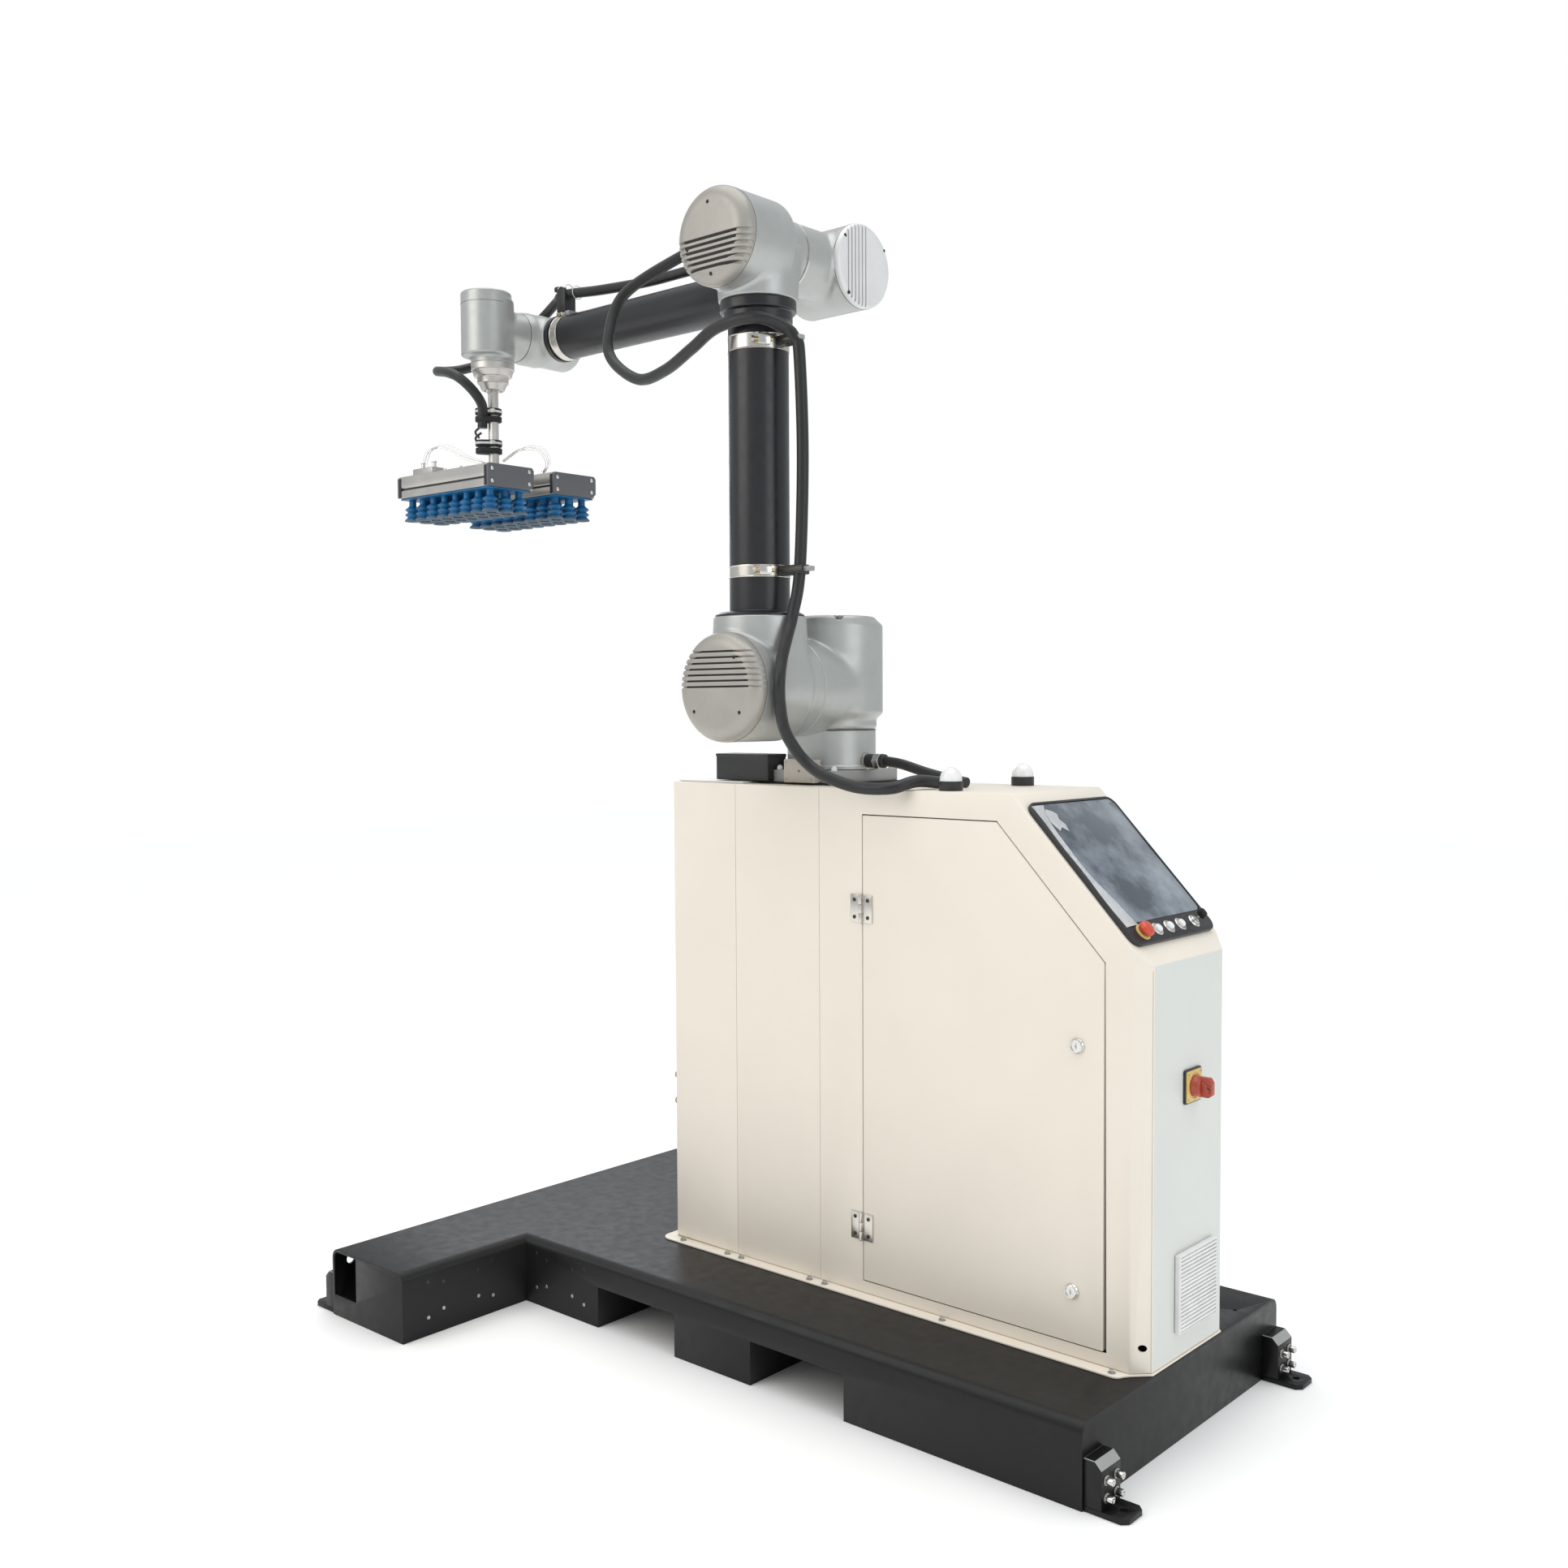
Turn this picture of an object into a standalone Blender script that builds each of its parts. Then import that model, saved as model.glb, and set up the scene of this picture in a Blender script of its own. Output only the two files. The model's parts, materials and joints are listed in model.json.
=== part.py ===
"""Floor-standing robot arm: a five-axis arm on a control cabinet with a steel base and a suction gripper.

Metres, +Z up. The origin is on the floor under the arm's first axis. +X points to the operator's end of
the cabinet and -Y to the side that has the door.
"""

import math

import bmesh
import bpy
import numpy as np
from mathutils import Matrix, Vector

GAP = 0.0003  # between two pieces that touch

# Steel base
BASE_REAR_X = -0.8825
BASE_FRONT_X = 0.8745
BASE_HALF_Y = 0.387
BASE_HEIGHT = 0.154
BASE_WALL = 0.006
BASE_EDGE_R = 0.022
LEG_FRONT_X = -0.612
LEG_HALF_Y = 0.729
FORK_POCKETS_X = ((-0.3616, -0.1196), (0.1003, 0.3463))
FORK_HEIGHT = 0.0915
LEG_WINDOW = (0.093, 0.100)  # width and height of the open corner in each end of the leg
FOOT_REACH = 0.083
FOOT_WIDTH = 0.065
FOOT_PLATE = 0.010
FOOT_BLOCK = (0.035, 0.094)
FOOT_HOLE_R = 0.007

# Control cabinet
CAB_REAR_X = -0.334
CAB_FRONT_X = 0.871
CAB_HALF_Y = 0.165
CAB_TOP = 1.2136
CAB_WALL = 0.003
CAB_CHAMFER = 0.030
SLOPE_TOP = Vector((0.583, 0, CAB_TOP))
SLOPE_FOOT = Vector((CAB_FRONT_X, 0, 0.910))
FLANGE_LIP = 0.027
FLANGE_LIP_BACK = 0.035
FLANGE_THICK = 0.004
DOOR_X = (0.2175, 0.788)
DOOR_Z = (0.184, 1.161)
DOOR_CUT_X = 0.549
DOOR_CUT_Z = 0.910
DOOR_THICK = 0.016
DOOR_GAP = 0.0025
HINGE_Z = (0.965, 0.300)
HINGE_SIZE = 0.058
LOCKS_XZ = ((0.730, 0.750), (0.720, 0.285))
LOCK_R = 0.015
VENT_Y = (-0.054, 0.097)
VENT_Z = (0.208, 0.358)
SWITCH_YZ = (0.008, 0.667)
SWITCH_PLATE = 0.065
HMI_HALF_Y = 0.152
HMI_ALONG = (0.036, 0.373)  # distances down the slope from its top edge
BEACON_X = 0.417
BEACON_Y = 0.130

# Arm
J1_RADIUS = 0.098
RISER_TOP = 1.245
J1_SEAM = 1.331
SHOULDER_TOP = 1.580
J2_Z = 1.423
J2_SEAM_Y = -0.146
J2_RADIUS = 0.1134
ARM_Y = -0.234
J2_CAP_Y = (-0.371, -0.346, -0.337)  # flat front, end of the rounding, seam
J2_FLAT_R = 0.082
J3_CAP_Y = (-0.382, -0.356, -0.348)
J3_FLAT_R = 0.068
CAP_PITCH = 0.012
UPPER_TUBE_R = 0.0635
J2_NECK_TOP = 1.585
J3_Z = 2.335
J3_RADIUS = 0.100
J3_WIDE_END_Y = -0.217
J3_RING_R = 0.0735
J3_SEAM_Y = -0.157
J3_NECK_LOW = 2.224
FOREARM_Y = 0.013
FOREARM_TUBE_R = 0.055
FOREARM_ROOT_X = (-0.120, 0.090)
FOREARM_ROOT_R = 0.090
FOREARM_TUBE_END = -0.918
J4_X = -0.995
J4_Z = 2.338
J4_RADIUS = 0.063
J4_BACK_Y = 0.112
J5_Y = -0.147
J5_RADIUS = 0.064
J5_BULGE = (-0.004, -0.015)
J5_WIDE_LOW = 2.274
J5_TOP = 2.433
J5_LOW = 2.256
J4_SEAM_Y = J5_Y + 0.078
TOOL_RADII = (0.0545, 0.0480, 0.0395, 0.0300)
TOOL_FLANGE_LOW = 2.190
ROD_R = 0.0130
ROD_LOW = 1.979

# Gripper
BAR_X = (-1.169, -0.801)
BAR_Z = (1.917, 1.971)
NEAR_BAR_Y = (-0.318, -0.178)
FAR_BAR_Y = (-0.114, 0.024)
BAR_WALL = 0.006
CUP_ROWS = 3
CUPS_PER_ROW = 8
CUP_PITCH = (0.045, 0.044)
CUP_RADIUS = 0.020
CUP_LOW = 1.860

# Hose and cables
HOSE_R = 0.0125
HOSE_STEP = 0.060
HOSE_GAP = 0.0010  # between two stretches of the hose
HOSE_END = 0.003  # the straight end of a stretch
ROBOT_CABLE_R = 0.011
AIR_TUBE_R = 0.003

for old in list(bpy.data.objects):
    bpy.data.objects.remove(old, do_unlink=True)
PARTS = bpy.data.collections.new("robot_arm_station")
CUTTERS = bpy.data.collections.new("cutters")
bpy.context.scene.collection.children.link(PARTS)
bpy.context.scene.collection.children.link(CUTTERS)


# Materials
def paint(name, colour, roughness, metallic=0.0):
    """A Principled material of one colour."""
    material = bpy.data.materials.new(name)
    material.use_nodes = True
    shader = material.node_tree.nodes["Principled BSDF"]
    shader.inputs["Base Color"].default_value = (*colour, 1)
    shader.inputs["Roughness"].default_value = roughness
    shader.inputs["Metallic"].default_value = metallic
    return material


BLACK_STEEL = (0.014, 0.014, 0.015), 0.45, 0.0
IVORY = (0.86, 0.79, 0.68), 0.4, 0.0
CASTING = (0.47, 0.50, 0.48), 0.38, 0.7
CAST_CAP = (0.52, 0.52, 0.50), 0.45, 0.6
TUBE_BLACK = (0.020, 0.022, 0.026), 0.42, 0.3
STAINLESS = (0.62, 0.60, 0.57), 0.25, 1.0
ALUMINIUM = (0.60, 0.60, 0.58), 0.35, 1.0
BLACK_PLASTIC = (0.018, 0.018, 0.019), 0.5, 0.0
WHITE_PLASTIC = (0.82, 0.82, 0.80), 0.45, 0.0
RED_PLASTIC = (0.55, 0.05, 0.03), 0.4, 0.0
YELLOW_PLASTIC = (0.80, 0.58, 0.10), 0.45, 0.0
SCREEN_GLASS = (0.10, 0.13, 0.18), 0.12, 0.0
BLUE_RUBBER = (0.012, 0.13, 0.36), 0.5, 0.0
HOSE_RUBBER = (0.016, 0.016, 0.017), 0.6, 0.0
CLEAR_TUBE = (0.80, 0.82, 0.80), 0.2, 0.0
ZINC = (0.50, 0.50, 0.47), 0.4, 1.0


# Building blocks
def as_cutter(thing):
    """Puts a helper shape out of sight, in the cutters' collection."""
    for group in thing.users_collection:
        group.objects.unlink(thing)
    CUTTERS.objects.link(thing)
    thing.hide_render = True
    thing.display_type = "WIRE"
    return thing


def helper(mesh, place=None):
    """A helper shape made of a mesh."""
    thing = bpy.data.objects.new("helper", mesh)
    thing.matrix_world = place or Matrix.Identity(4)
    return as_cutter(thing)


def mesh_of(work):
    mesh = bpy.data.meshes.new("mesh")
    work.to_mesh(mesh)
    work.free()
    return mesh


def box(low, high):
    """A box between two corners."""
    low = Vector(low)
    high = Vector(high)
    work = bmesh.new()
    bmesh.ops.create_cube(work, size=1, matrix=Matrix.Diagonal((*(high - low), 1)))
    return helper(mesh_of(work), Matrix.Translation((low + high) / 2))


def along(start, end):
    """The matrix that puts +Z along the line from start to end, at its middle."""
    start = Vector(start)
    end = Vector(end)
    turn = (end - start).to_track_quat("Z", "Y").to_matrix().to_4x4()
    return Matrix.Translation((start + end) / 2) @ turn


def rod(start, end, radius, end_radius=None, sides=40):
    """A cylinder or a cone between two points."""
    length = (Vector(end) - Vector(start)).length
    work = bmesh.new()
    bmesh.ops.create_cone(
        work,
        cap_ends=True,
        segments=sides,
        radius1=radius,
        radius2=radius if end_radius is None else end_radius,
        depth=length,
    )
    mesh = mesh_of(work)
    mesh.shade_smooth()
    mesh.set_sharp_from_angle(angle=math.radians(35))
    return helper(mesh, along(start, end))


def turned(profile, place, sides=40):
    """A turned shape. The profile is (radius, height) from the axis at the top to the axis at the bottom."""
    mesh = bpy.data.meshes.new("profile")
    points = [(radius, 0, height) for radius, height in profile]
    mesh.from_pydata(points, [(i, i + 1) for i in range(len(points) - 1)], [])
    thing = helper(mesh, place)
    screw = thing.modifiers.new("turn", "SCREW")
    screw.steps = sides
    screw.render_steps = sides
    screw.use_merge_vertices = True
    screw.merge_threshold = 0.00005
    screw.use_smooth_shade = True
    return thing


def fixed_mesh(thing):
    """A helper that holds the evaluated shape of another, with its loose caps welded."""
    bpy.context.view_layer.update()
    seen = thing.evaluated_get(bpy.context.evaluated_depsgraph_get())
    mesh = bpy.data.meshes.new_from_object(seen)
    work = bmesh.new()
    work.from_mesh(mesh)
    bmesh.ops.remove_doubles(work, verts=work.verts, dist=0.00002)
    bmesh.ops.recalc_face_normals(work, faces=work.faces)
    work.to_mesh(mesh)
    work.free()
    made = helper(mesh, thing.matrix_world.copy())
    bpy.data.objects.remove(thing, do_unlink=True)
    return made


AROUND_X = Matrix(((0, 0, 1, 0), (1, 0, 0, 0), (0, 1, 0, 0), (0, 0, 0, 1)))
AROUND_Y = Matrix(((1, 0, 0, 0), (0, 0, -1, 0), (0, 1, 0, 0), (0, 0, 0, 1)))
AROUND_Z = Matrix.Identity(4)


def slab(points, low, high, facing=AROUND_Z):
    """A flat outline made thick. facing AROUND_X takes (y, z) points, AROUND_Y (x, z) and AROUND_Z (x, y)."""
    curve = bpy.data.curves.new("outline", "CURVE")
    curve.dimensions = "2D"
    curve.fill_mode = "BOTH"
    curve.extrude = (high - low) / 2
    line = curve.splines.new("POLY")
    line.points.add(len(points) - 1)
    for spot, (across, up) in zip(line.points, points):
        spot.co = (across, up, 0, 1)
    line.use_cyclic_u = True
    thing = bpy.data.objects.new("outline", curve)
    CUTTERS.objects.link(thing)
    side = facing.to_3x3() @ Vector((0, 0, 1))
    middle = (low + high) / 2
    sign = -1 if facing is AROUND_Y else 1
    thing.matrix_world = Matrix.Translation(side * middle * sign) @ facing
    bpy.context.view_layer.update()
    return fixed_mesh(thing)


def arc(centre, radius, start, stop, steps):
    """Points round part of a circle, with angles in degrees."""
    turns = np.radians(np.linspace(start, stop, steps + 1))
    return [(centre[0] + radius * math.cos(t), centre[1] + radius * math.sin(t)) for t in turns]


def combine(base, others, operation):
    """Adds an exact Boolean modifier for each of the other shapes."""
    for other in others:
        change = base.modifiers.new(operation.lower(), "BOOLEAN")
        change.operation = operation
        change.solver = "EXACT"
        change.object = other
    return base


def join(base, *others):
    return combine(base, others, "UNION")


def cut(base, *others):
    return combine(base, others, "DIFFERENCE")


def part(name, thing, look, pivot=None):
    """Turns a shape into a named piece with its own material, hung on its joint's empty if it moves."""
    CUTTERS.objects.unlink(thing)
    PARTS.objects.link(thing)
    thing.name = name
    thing.hide_render = False
    thing.display_type = "TEXTURED"
    thing.data.materials.clear()
    thing.data.materials.append(paint(name, *look))
    if pivot:
        thing.parent = pivot
        thing.matrix_parent_inverse = pivot.matrix_world.inverted()
    return thing


def pivot_at(name, place, parent=None):
    """An empty on a joint's axis."""
    empty = bpy.data.objects.new(name, None)
    PARTS.objects.link(empty)
    empty.empty_display_size = 0.1
    empty.location = place
    bpy.context.view_layer.update()
    if parent:
        empty.parent = parent
        empty.matrix_parent_inverse = parent.matrix_world.inverted()
        bpy.context.view_layer.update()
    return empty


FINE = 24  # points of the smooth curve between two points of its route


def smooth_curve(route):
    """Closely spaced points on a smooth curve through the route's points, and the length up to each."""
    ends = [2 * route[0] - route[1], *route, 2 * route[-1] - route[-2]]
    fine = []
    for a, b, c, d in zip(ends, ends[1:], ends[2:], ends[3:]):
        for t in np.linspace(0, 1, FINE, endpoint=False):
            bend = (2 * a - 5 * b + 4 * c - d) * t**2 + (3 * b - a - 3 * c + d) * t**3
            fine.append(0.5 * (2 * b + (c - a) * t + bend))
    fine.append(route[-1])
    fine = np.array([tuple(p) for p in fine])
    run = np.concatenate([[0], np.cumsum(np.linalg.norm(np.diff(fine, axis=0), axis=1))])
    return fine, run


def points_at(fine, run, at):
    return np.stack([np.interp(at, run, fine[:, k]) for k in range(3)], axis=1)


def smooth_route(route, step):
    """Evenly spaced points on a smooth curve through the route's points."""
    fine, run = smooth_curve(route)
    return points_at(fine, run, np.linspace(0, run[-1], max(3, round(run[-1] / step) + 1)))


def smooth_stretches(routes, step):
    """The same for routes that follow one another. Each stretch ends square, a gap short of the next."""
    whole = [*routes[0]]
    for route in routes[1:]:
        whole += route[1:]
    fine, run = smooth_curve(whole)
    lines = []
    first = 0
    for route in routes:
        last = first + len(route) - 1
        a = run[first * FINE] + HOSE_GAP / 2
        b = run[last * FINE] - HOSE_GAP / 2
        middle = np.linspace(a + HOSE_END, b - HOSE_END, max(3, round((b - a) / step)))
        lines.append(points_at(fine, run, np.array([a, *middle, b])))
        first = last
    return lines


def tube(name, points, radius, look, pivot=None, resolution=2):
    """A round tube along points."""
    curve = bpy.data.curves.new(name, "CURVE")
    curve.dimensions = "3D"
    curve.bevel_depth = radius
    curve.bevel_resolution = resolution
    curve.use_fill_caps = True
    line = curve.splines.new("POLY")
    line.points.add(len(points) - 1)
    for spot, point in zip(line.points, points):
        spot.co = (*point, 1)
    thing = bpy.data.objects.new(name, curve)
    CUTTERS.objects.link(thing)
    return part(name, thing, look, pivot)


# Steel base
def rounded_top(half, height, radius):
    """A cross-section with its two top corners rounded."""
    right = arc((half - radius, height - radius), radius, 0, 90, 4)
    left = arc((radius - half, height - radius), radius, 90, 180, 4)
    return [(-half, 0), (half, 0), *right, *left]


def base_main():
    """The long box. It is open below at both ends, has a floor plate in the middle and two fork pockets."""
    low_x = LEG_FRONT_X + GAP
    beam = slab(rounded_top(BASE_HALF_Y, BASE_HEIGHT, BASE_EDGE_R), low_x, BASE_FRONT_X, AROUND_X)
    inner_y = BASE_HALF_Y - BASE_WALL
    roof = BASE_HEIGHT - BASE_WALL
    pockets = [box((a, -1, -1), (b, 1, FORK_HEIGHT)) for a, b in FORK_POCKETS_X]
    (rear_a, rear_b), (front_a, front_b) = FORK_POCKETS_X
    rooms = [
        (low_x + BASE_WALL, rear_a - BASE_WALL, -1),
        (rear_b + BASE_WALL, front_a - BASE_WALL, BASE_WALL),
        (front_b + BASE_WALL, BASE_FRONT_X - BASE_WALL, -1),
    ]
    inside = box((low_x + BASE_WALL, -inner_y, FORK_HEIGHT + BASE_WALL), (BASE_FRONT_X - BASE_WALL, inner_y, roof - 0.016))
    hollows = [box((a, -inner_y, z), (b, inner_y, FORK_HEIGHT + 0.02)) for a, b, z in rooms]
    crown = box((low_x + BASE_WALL, 0.024 - inner_y, 0.12), (BASE_FRONT_X - BASE_WALL, inner_y - 0.024, roof))
    part("base_main", cut(beam, *pockets, inside, crown, *hollows), BLACK_STEEL)


def base_crossbeam():
    """The cross leg, open below, with an open corner in each end."""
    x0 = BASE_REAR_X
    x1 = LEG_FRONT_X
    beam = box((x0, -LEG_HALF_Y, 0), (x1, LEG_HALF_Y, BASE_HEIGHT))
    inside = box(
        (x0 + BASE_WALL, BASE_WALL - LEG_HALF_Y, -1),
        (x1 - BASE_WALL, LEG_HALF_Y - BASE_WALL, BASE_HEIGHT - BASE_WALL),
    )
    wide, tall = LEG_WINDOW
    sill = BASE_HEIGHT - BASE_WALL - tall
    cuts = [inside]
    for side in (-1, 1):
        y = side * LEG_HALF_Y
        cuts.append(box((x0 + BASE_WALL, y - 0.03, sill), (x0 + wide, y + 0.03, sill + tall)))
        cuts.append(rod((x0 - 0.02, y - side * 0.045, 0.118), (x0 + 0.02, y - side * 0.045, 0.118), 0.011, sides=16))
    part("base_crossbeam", cut(beam, *cuts), BLACK_STEEL)


def foot_bracket(name, x, y, side):
    """A floor bracket on an end face. side is the way it points along X, and y is its middle."""
    block_x, block_z = FOOT_BLOCK
    start = x + side * GAP
    outline = [
        (start, 0),
        (start + side * FOOT_REACH, 0),
        (start + side * FOOT_REACH, FOOT_PLATE),
        (start + side * block_x, FOOT_PLATE),
        (start + side * block_x, block_z - 0.014),
        (start + side * (block_x - 0.014), block_z),
        (start, block_z),
    ]
    if side < 0:
        outline.reverse()
    body = slab(outline, y - FOOT_WIDTH / 2, y + FOOT_WIDTH / 2, AROUND_Y)
    hole_x = start + side * (FOOT_REACH - 0.024)
    part(name, cut(body, rod((hole_x, y, -0.01), (hole_x, y, 0.03), FOOT_HOLE_R, sides=20)), BLACK_STEEL)


base_main()
base_crossbeam()
FOOT_INSET = FOOT_WIDTH / 2 + 0.004
foot_bracket("foot_front_near", BASE_FRONT_X, FOOT_INSET - BASE_HALF_Y, 1)
foot_bracket("foot_front_far", BASE_FRONT_X, BASE_HALF_Y - FOOT_INSET, 1)
foot_bracket("foot_rear_near", BASE_REAR_X, FOOT_INSET - LEG_HALF_Y, -1)
foot_bracket("foot_rear_far", BASE_REAR_X, LEG_HALF_Y - FOOT_INSET, -1)

# Control cabinet
CAB_LOW = BASE_HEIGHT + GAP
SKIN_LOW = CAB_LOW + FLANGE_THICK + GAP
PILLAR_FRONT = CAB_FRONT_X - CAB_CHAMFER
SIDE_FRONT = PILLAR_FRONT - GAP
SLOPE_DOWN = (SLOPE_FOOT - SLOPE_TOP).normalized()
SLOPE_OUT = Vector((-SLOPE_DOWN.z, 0, SLOPE_DOWN.x))


def on_slope(distance, y, height):
    """A point on the sloping console, from its top edge, its middle and its surface."""
    return SLOPE_TOP + SLOPE_DOWN * distance + Vector((0, y, 0)) + SLOPE_OUT * height


def slope_z(x):
    """The console's height at x."""
    return SLOPE_TOP.z + (x - SLOPE_TOP.x) * (SLOPE_FOOT.z - SLOPE_TOP.z) / (SLOPE_FOOT.x - SLOPE_TOP.x)


def foot_flange():
    """The folded lip that is bolted to the base, open at the operator's end."""
    r = FLANGE_LIP
    x0, x1, y1 = CAB_REAR_X, CAB_FRONT_X, CAB_HALF_Y
    corners = (
        arc((x1, -y1), r, 270, 360, 4)
        + arc((x1, y1), r, 0, 90, 4)
        + arc((x0, y1), r, 90, 180, 4)
        + arc((x0, -y1), r, 180, 270, 4)
    )
    open_end = [
        box((x1 - FLANGE_LIP_BACK, -1, -1), (2, -y1 + 0.0005, 1)),
        box((x1 - FLANGE_LIP_BACK, y1 - 0.0005, -1), (2, 1, 1)),
        box((x1 + 0.0005, -1, -1), (2, 1, 1)),
    ]
    ring = slab(corners, CAB_LOW, CAB_LOW + FLANGE_THICK)
    hole = box((x0 + 0.02, 0.02 - y1, 0), (x1 - 0.05, y1 - 0.02, 1))
    part("cabinet_foot_flange", cut(ring, hole, *open_end), IVORY)


def side_outline(inset):
    """The side's outline in (x, z), kept inset inside the top and the slope."""
    top = CAB_TOP - inset
    steep = math.hypot(1, (SLOPE_FOOT.z - SLOPE_TOP.z) / (SLOPE_FOOT.x - SLOPE_TOP.x))
    drop = inset * steep
    knee = SLOPE_TOP.x + (CAB_TOP - top - drop) * (SLOPE_FOOT.x - SLOPE_TOP.x) / (SLOPE_TOP.z - SLOPE_FOOT.z)
    return [
        (CAB_REAR_X, SKIN_LOW),
        (SIDE_FRONT, SKIN_LOW),
        (SIDE_FRONT, slope_z(SIDE_FRONT) - drop),
        (knee, top),
        (CAB_REAR_X, top),
    ]


def door_outline(inset):
    """The door's outline in (x, z), made smaller by inset."""
    x0, x1 = DOOR_X
    z0, z1 = DOOR_Z
    slant = inset * 0.42
    return [
        (x0 + inset, z0 + inset),
        (x1 - inset, z0 + inset),
        (x1 - inset, DOOR_CUT_Z - slant),
        (DOOR_CUT_X - slant, z1 - inset),
        (x0 + inset, z1 - inset),
    ]


def side_panels():
    """The two long sides, one with the door's opening."""
    roof = CAB_WALL + GAP
    near = slab(side_outline(roof), -CAB_HALF_Y, CAB_WALL - CAB_HALF_Y, AROUND_Y)
    opening = slab(door_outline(0), -1, 0, AROUND_Y)
    part("door_side_panel", cut(near, opening), IVORY)
    far = slab(side_outline(roof), CAB_HALF_Y - CAB_WALL, CAB_HALF_Y, AROUND_Y)
    part("far_side_panel", far, IVORY)


def operator_end():
    """The end panel with its two chamfered corners, and holes for the vent and for a cable."""
    y1 = CAB_HALF_Y
    t = CAB_WALL
    outside = [(PILLAR_FRONT, -y1), (CAB_FRONT_X, CAB_CHAMFER - y1), (CAB_FRONT_X, y1 - CAB_CHAMFER), (PILLAR_FRONT, y1)]
    skew = t * math.sqrt(2)
    inner_y = y1 - CAB_CHAMFER + t - skew
    inside = [(PILLAR_FRONT, y1 - skew), (CAB_FRONT_X - t, inner_y), (CAB_FRONT_X - t, -inner_y), (PILLAR_FRONT, skew - y1)]
    sheet = slab(outside + inside, SKIN_LOW, CAB_TOP)
    top_cut = slab(
        [
            (PILLAR_FRONT - 0.1, slope_z(PILLAR_FRONT - 0.1) - t * 1.5),
            (CAB_FRONT_X + 0.1, slope_z(CAB_FRONT_X + 0.1) - t * 1.5),
            (CAB_FRONT_X + 0.1, 2),
            (PILLAR_FRONT - 0.1, 2),
        ],
        -1,
        1,
        AROUND_Y,
    )
    margin = 0.012
    duct = box((0.8, VENT_Y[0] + margin, VENT_Z[0] + margin), (0.95, VENT_Y[1] - margin, VENT_Z[1] - margin))
    switch_hole = rod((0.8, *SWITCH_YZ), (0.95, *SWITCH_YZ), 0.012, sides=20)
    part("operator_end_panel", cut(sheet, top_cut, duct, switch_hole), IVORY)


def rear_end():
    t = CAB_WALL
    inner_y = CAB_HALF_Y - t - GAP
    sheet = box((CAB_REAR_X, -inner_y, SKIN_LOW), (CAB_REAR_X + t, inner_y, CAB_TOP - t - GAP))
    part("rear_end_panel", sheet, IVORY)


def top_panel():
    """The top and the sloping console, one folded sheet with the arm's opening."""
    t = CAB_WALL
    low_front = (CAB_FRONT_X, SLOPE_FOOT.z)
    inner = SLOPE_OUT * t
    outline = [
        (CAB_REAR_X, CAB_TOP),
        (CAB_REAR_X, CAB_TOP - t),
        (SLOPE_TOP.x - t * 0.42, CAB_TOP - t),
        (low_front[0] - inner.x, low_front[1] - inner.z),
        low_front,
        (SLOPE_TOP.x, CAB_TOP),
    ]
    sheet = slab(outline, -CAB_HALF_Y, CAB_HALF_Y, AROUND_Y)
    chamfers = [
        slab(
            [
                (PILLAR_FRONT, side * (CAB_HALF_Y + 0.0004)),
                (CAB_FRONT_X + 0.05, side * (CAB_HALF_Y - CAB_CHAMFER - 0.05)),
                (CAB_FRONT_X + 0.05, side * (CAB_HALF_Y + 0.0004)),
            ][::side],
            0,
            2,
        )
        for side in (-1, 1)
    ]
    well = box((-0.075, -0.075, CAB_TOP - 0.1), (0.075, 0.075, CAB_TOP + 0.1))
    part("cabinet_top_panel", cut(sheet, well, *chamfers), IVORY)


def pedestal():
    """The square column with two end plates that carries the arm."""
    column = box((-0.060, -0.060, CAB_LOW + 0.004), (0.060, 0.060, CAB_TOP + 0.004))
    foot = box((-0.110, -0.110, CAB_LOW), (0.110, 0.110, CAB_LOW + 0.016))
    hollow = box((-0.052, -0.052, 0), (0.052, 0.052, CAB_TOP - 0.012))
    cable_way = box((-0.03, -0.2, 0.3), (0.03, 0, 0.4))
    part("pedestal_column", cut(join(column, foot), hollow, cable_way), BLACK_STEEL)


def cabinet_insides():
    """The mounting plate on the far side and the two control boxes on it."""
    back = CAB_HALF_Y - CAB_WALL - GAP
    plate = box((0.14, back - 0.018, 0.22), (0.74, back - 0.015, 0.88))
    studs = [
        box((x - 0.008, back - 0.016, z - 0.008), (x + 0.008, back, z + 0.008))
        for x in (0.16, 0.72)
        for z in (0.24, 0.86)
    ]
    part("mounting_plate", join(plate, *studs), ZINC)
    front = back - 0.018 - GAP
    controller = box((0.18, front - 0.150, 0.250), (0.48, front, 0.560))
    part("robot_controller", controller, BLACK_PLASTIC)


foot_flange()
side_panels()
operator_end()
rear_end()
top_panel()
pedestal()
cabinet_insides()


# Vent and fan
def vent():
    """The filter fan's grille: a frame outside the panel with slanting louvres, and its box behind."""
    y0, y1 = VENT_Y
    z0, z1 = VENT_Z
    x = CAB_FRONT_X + GAP
    frame = box((x, y0, z0), (x + 0.012, y1, z1))
    window = box((x - 0.01, y0 + 0.016, z0 + 0.012), (x + 0.03, y1 - 0.016, z1 - 0.012))
    louvres = []
    count = 9
    pitch = (z1 - z0 - 0.024) / count
    for i in range(count):
        z = z0 + 0.012 + pitch * (i + 0.5)
        louvre = slab(
            [(x + 0.001, z - 0.001), (x + 0.011, z - 0.0055), (x + 0.011, z - 0.002), (x + 0.001, z + 0.0045)],
            y0 + 0.010,
            y1 - 0.010,
            AROUND_Y,
        )
        louvres.append(louvre)
    part("vent_grille", join(cut(frame, window), *louvres), WHITE_PLASTIC)


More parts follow.
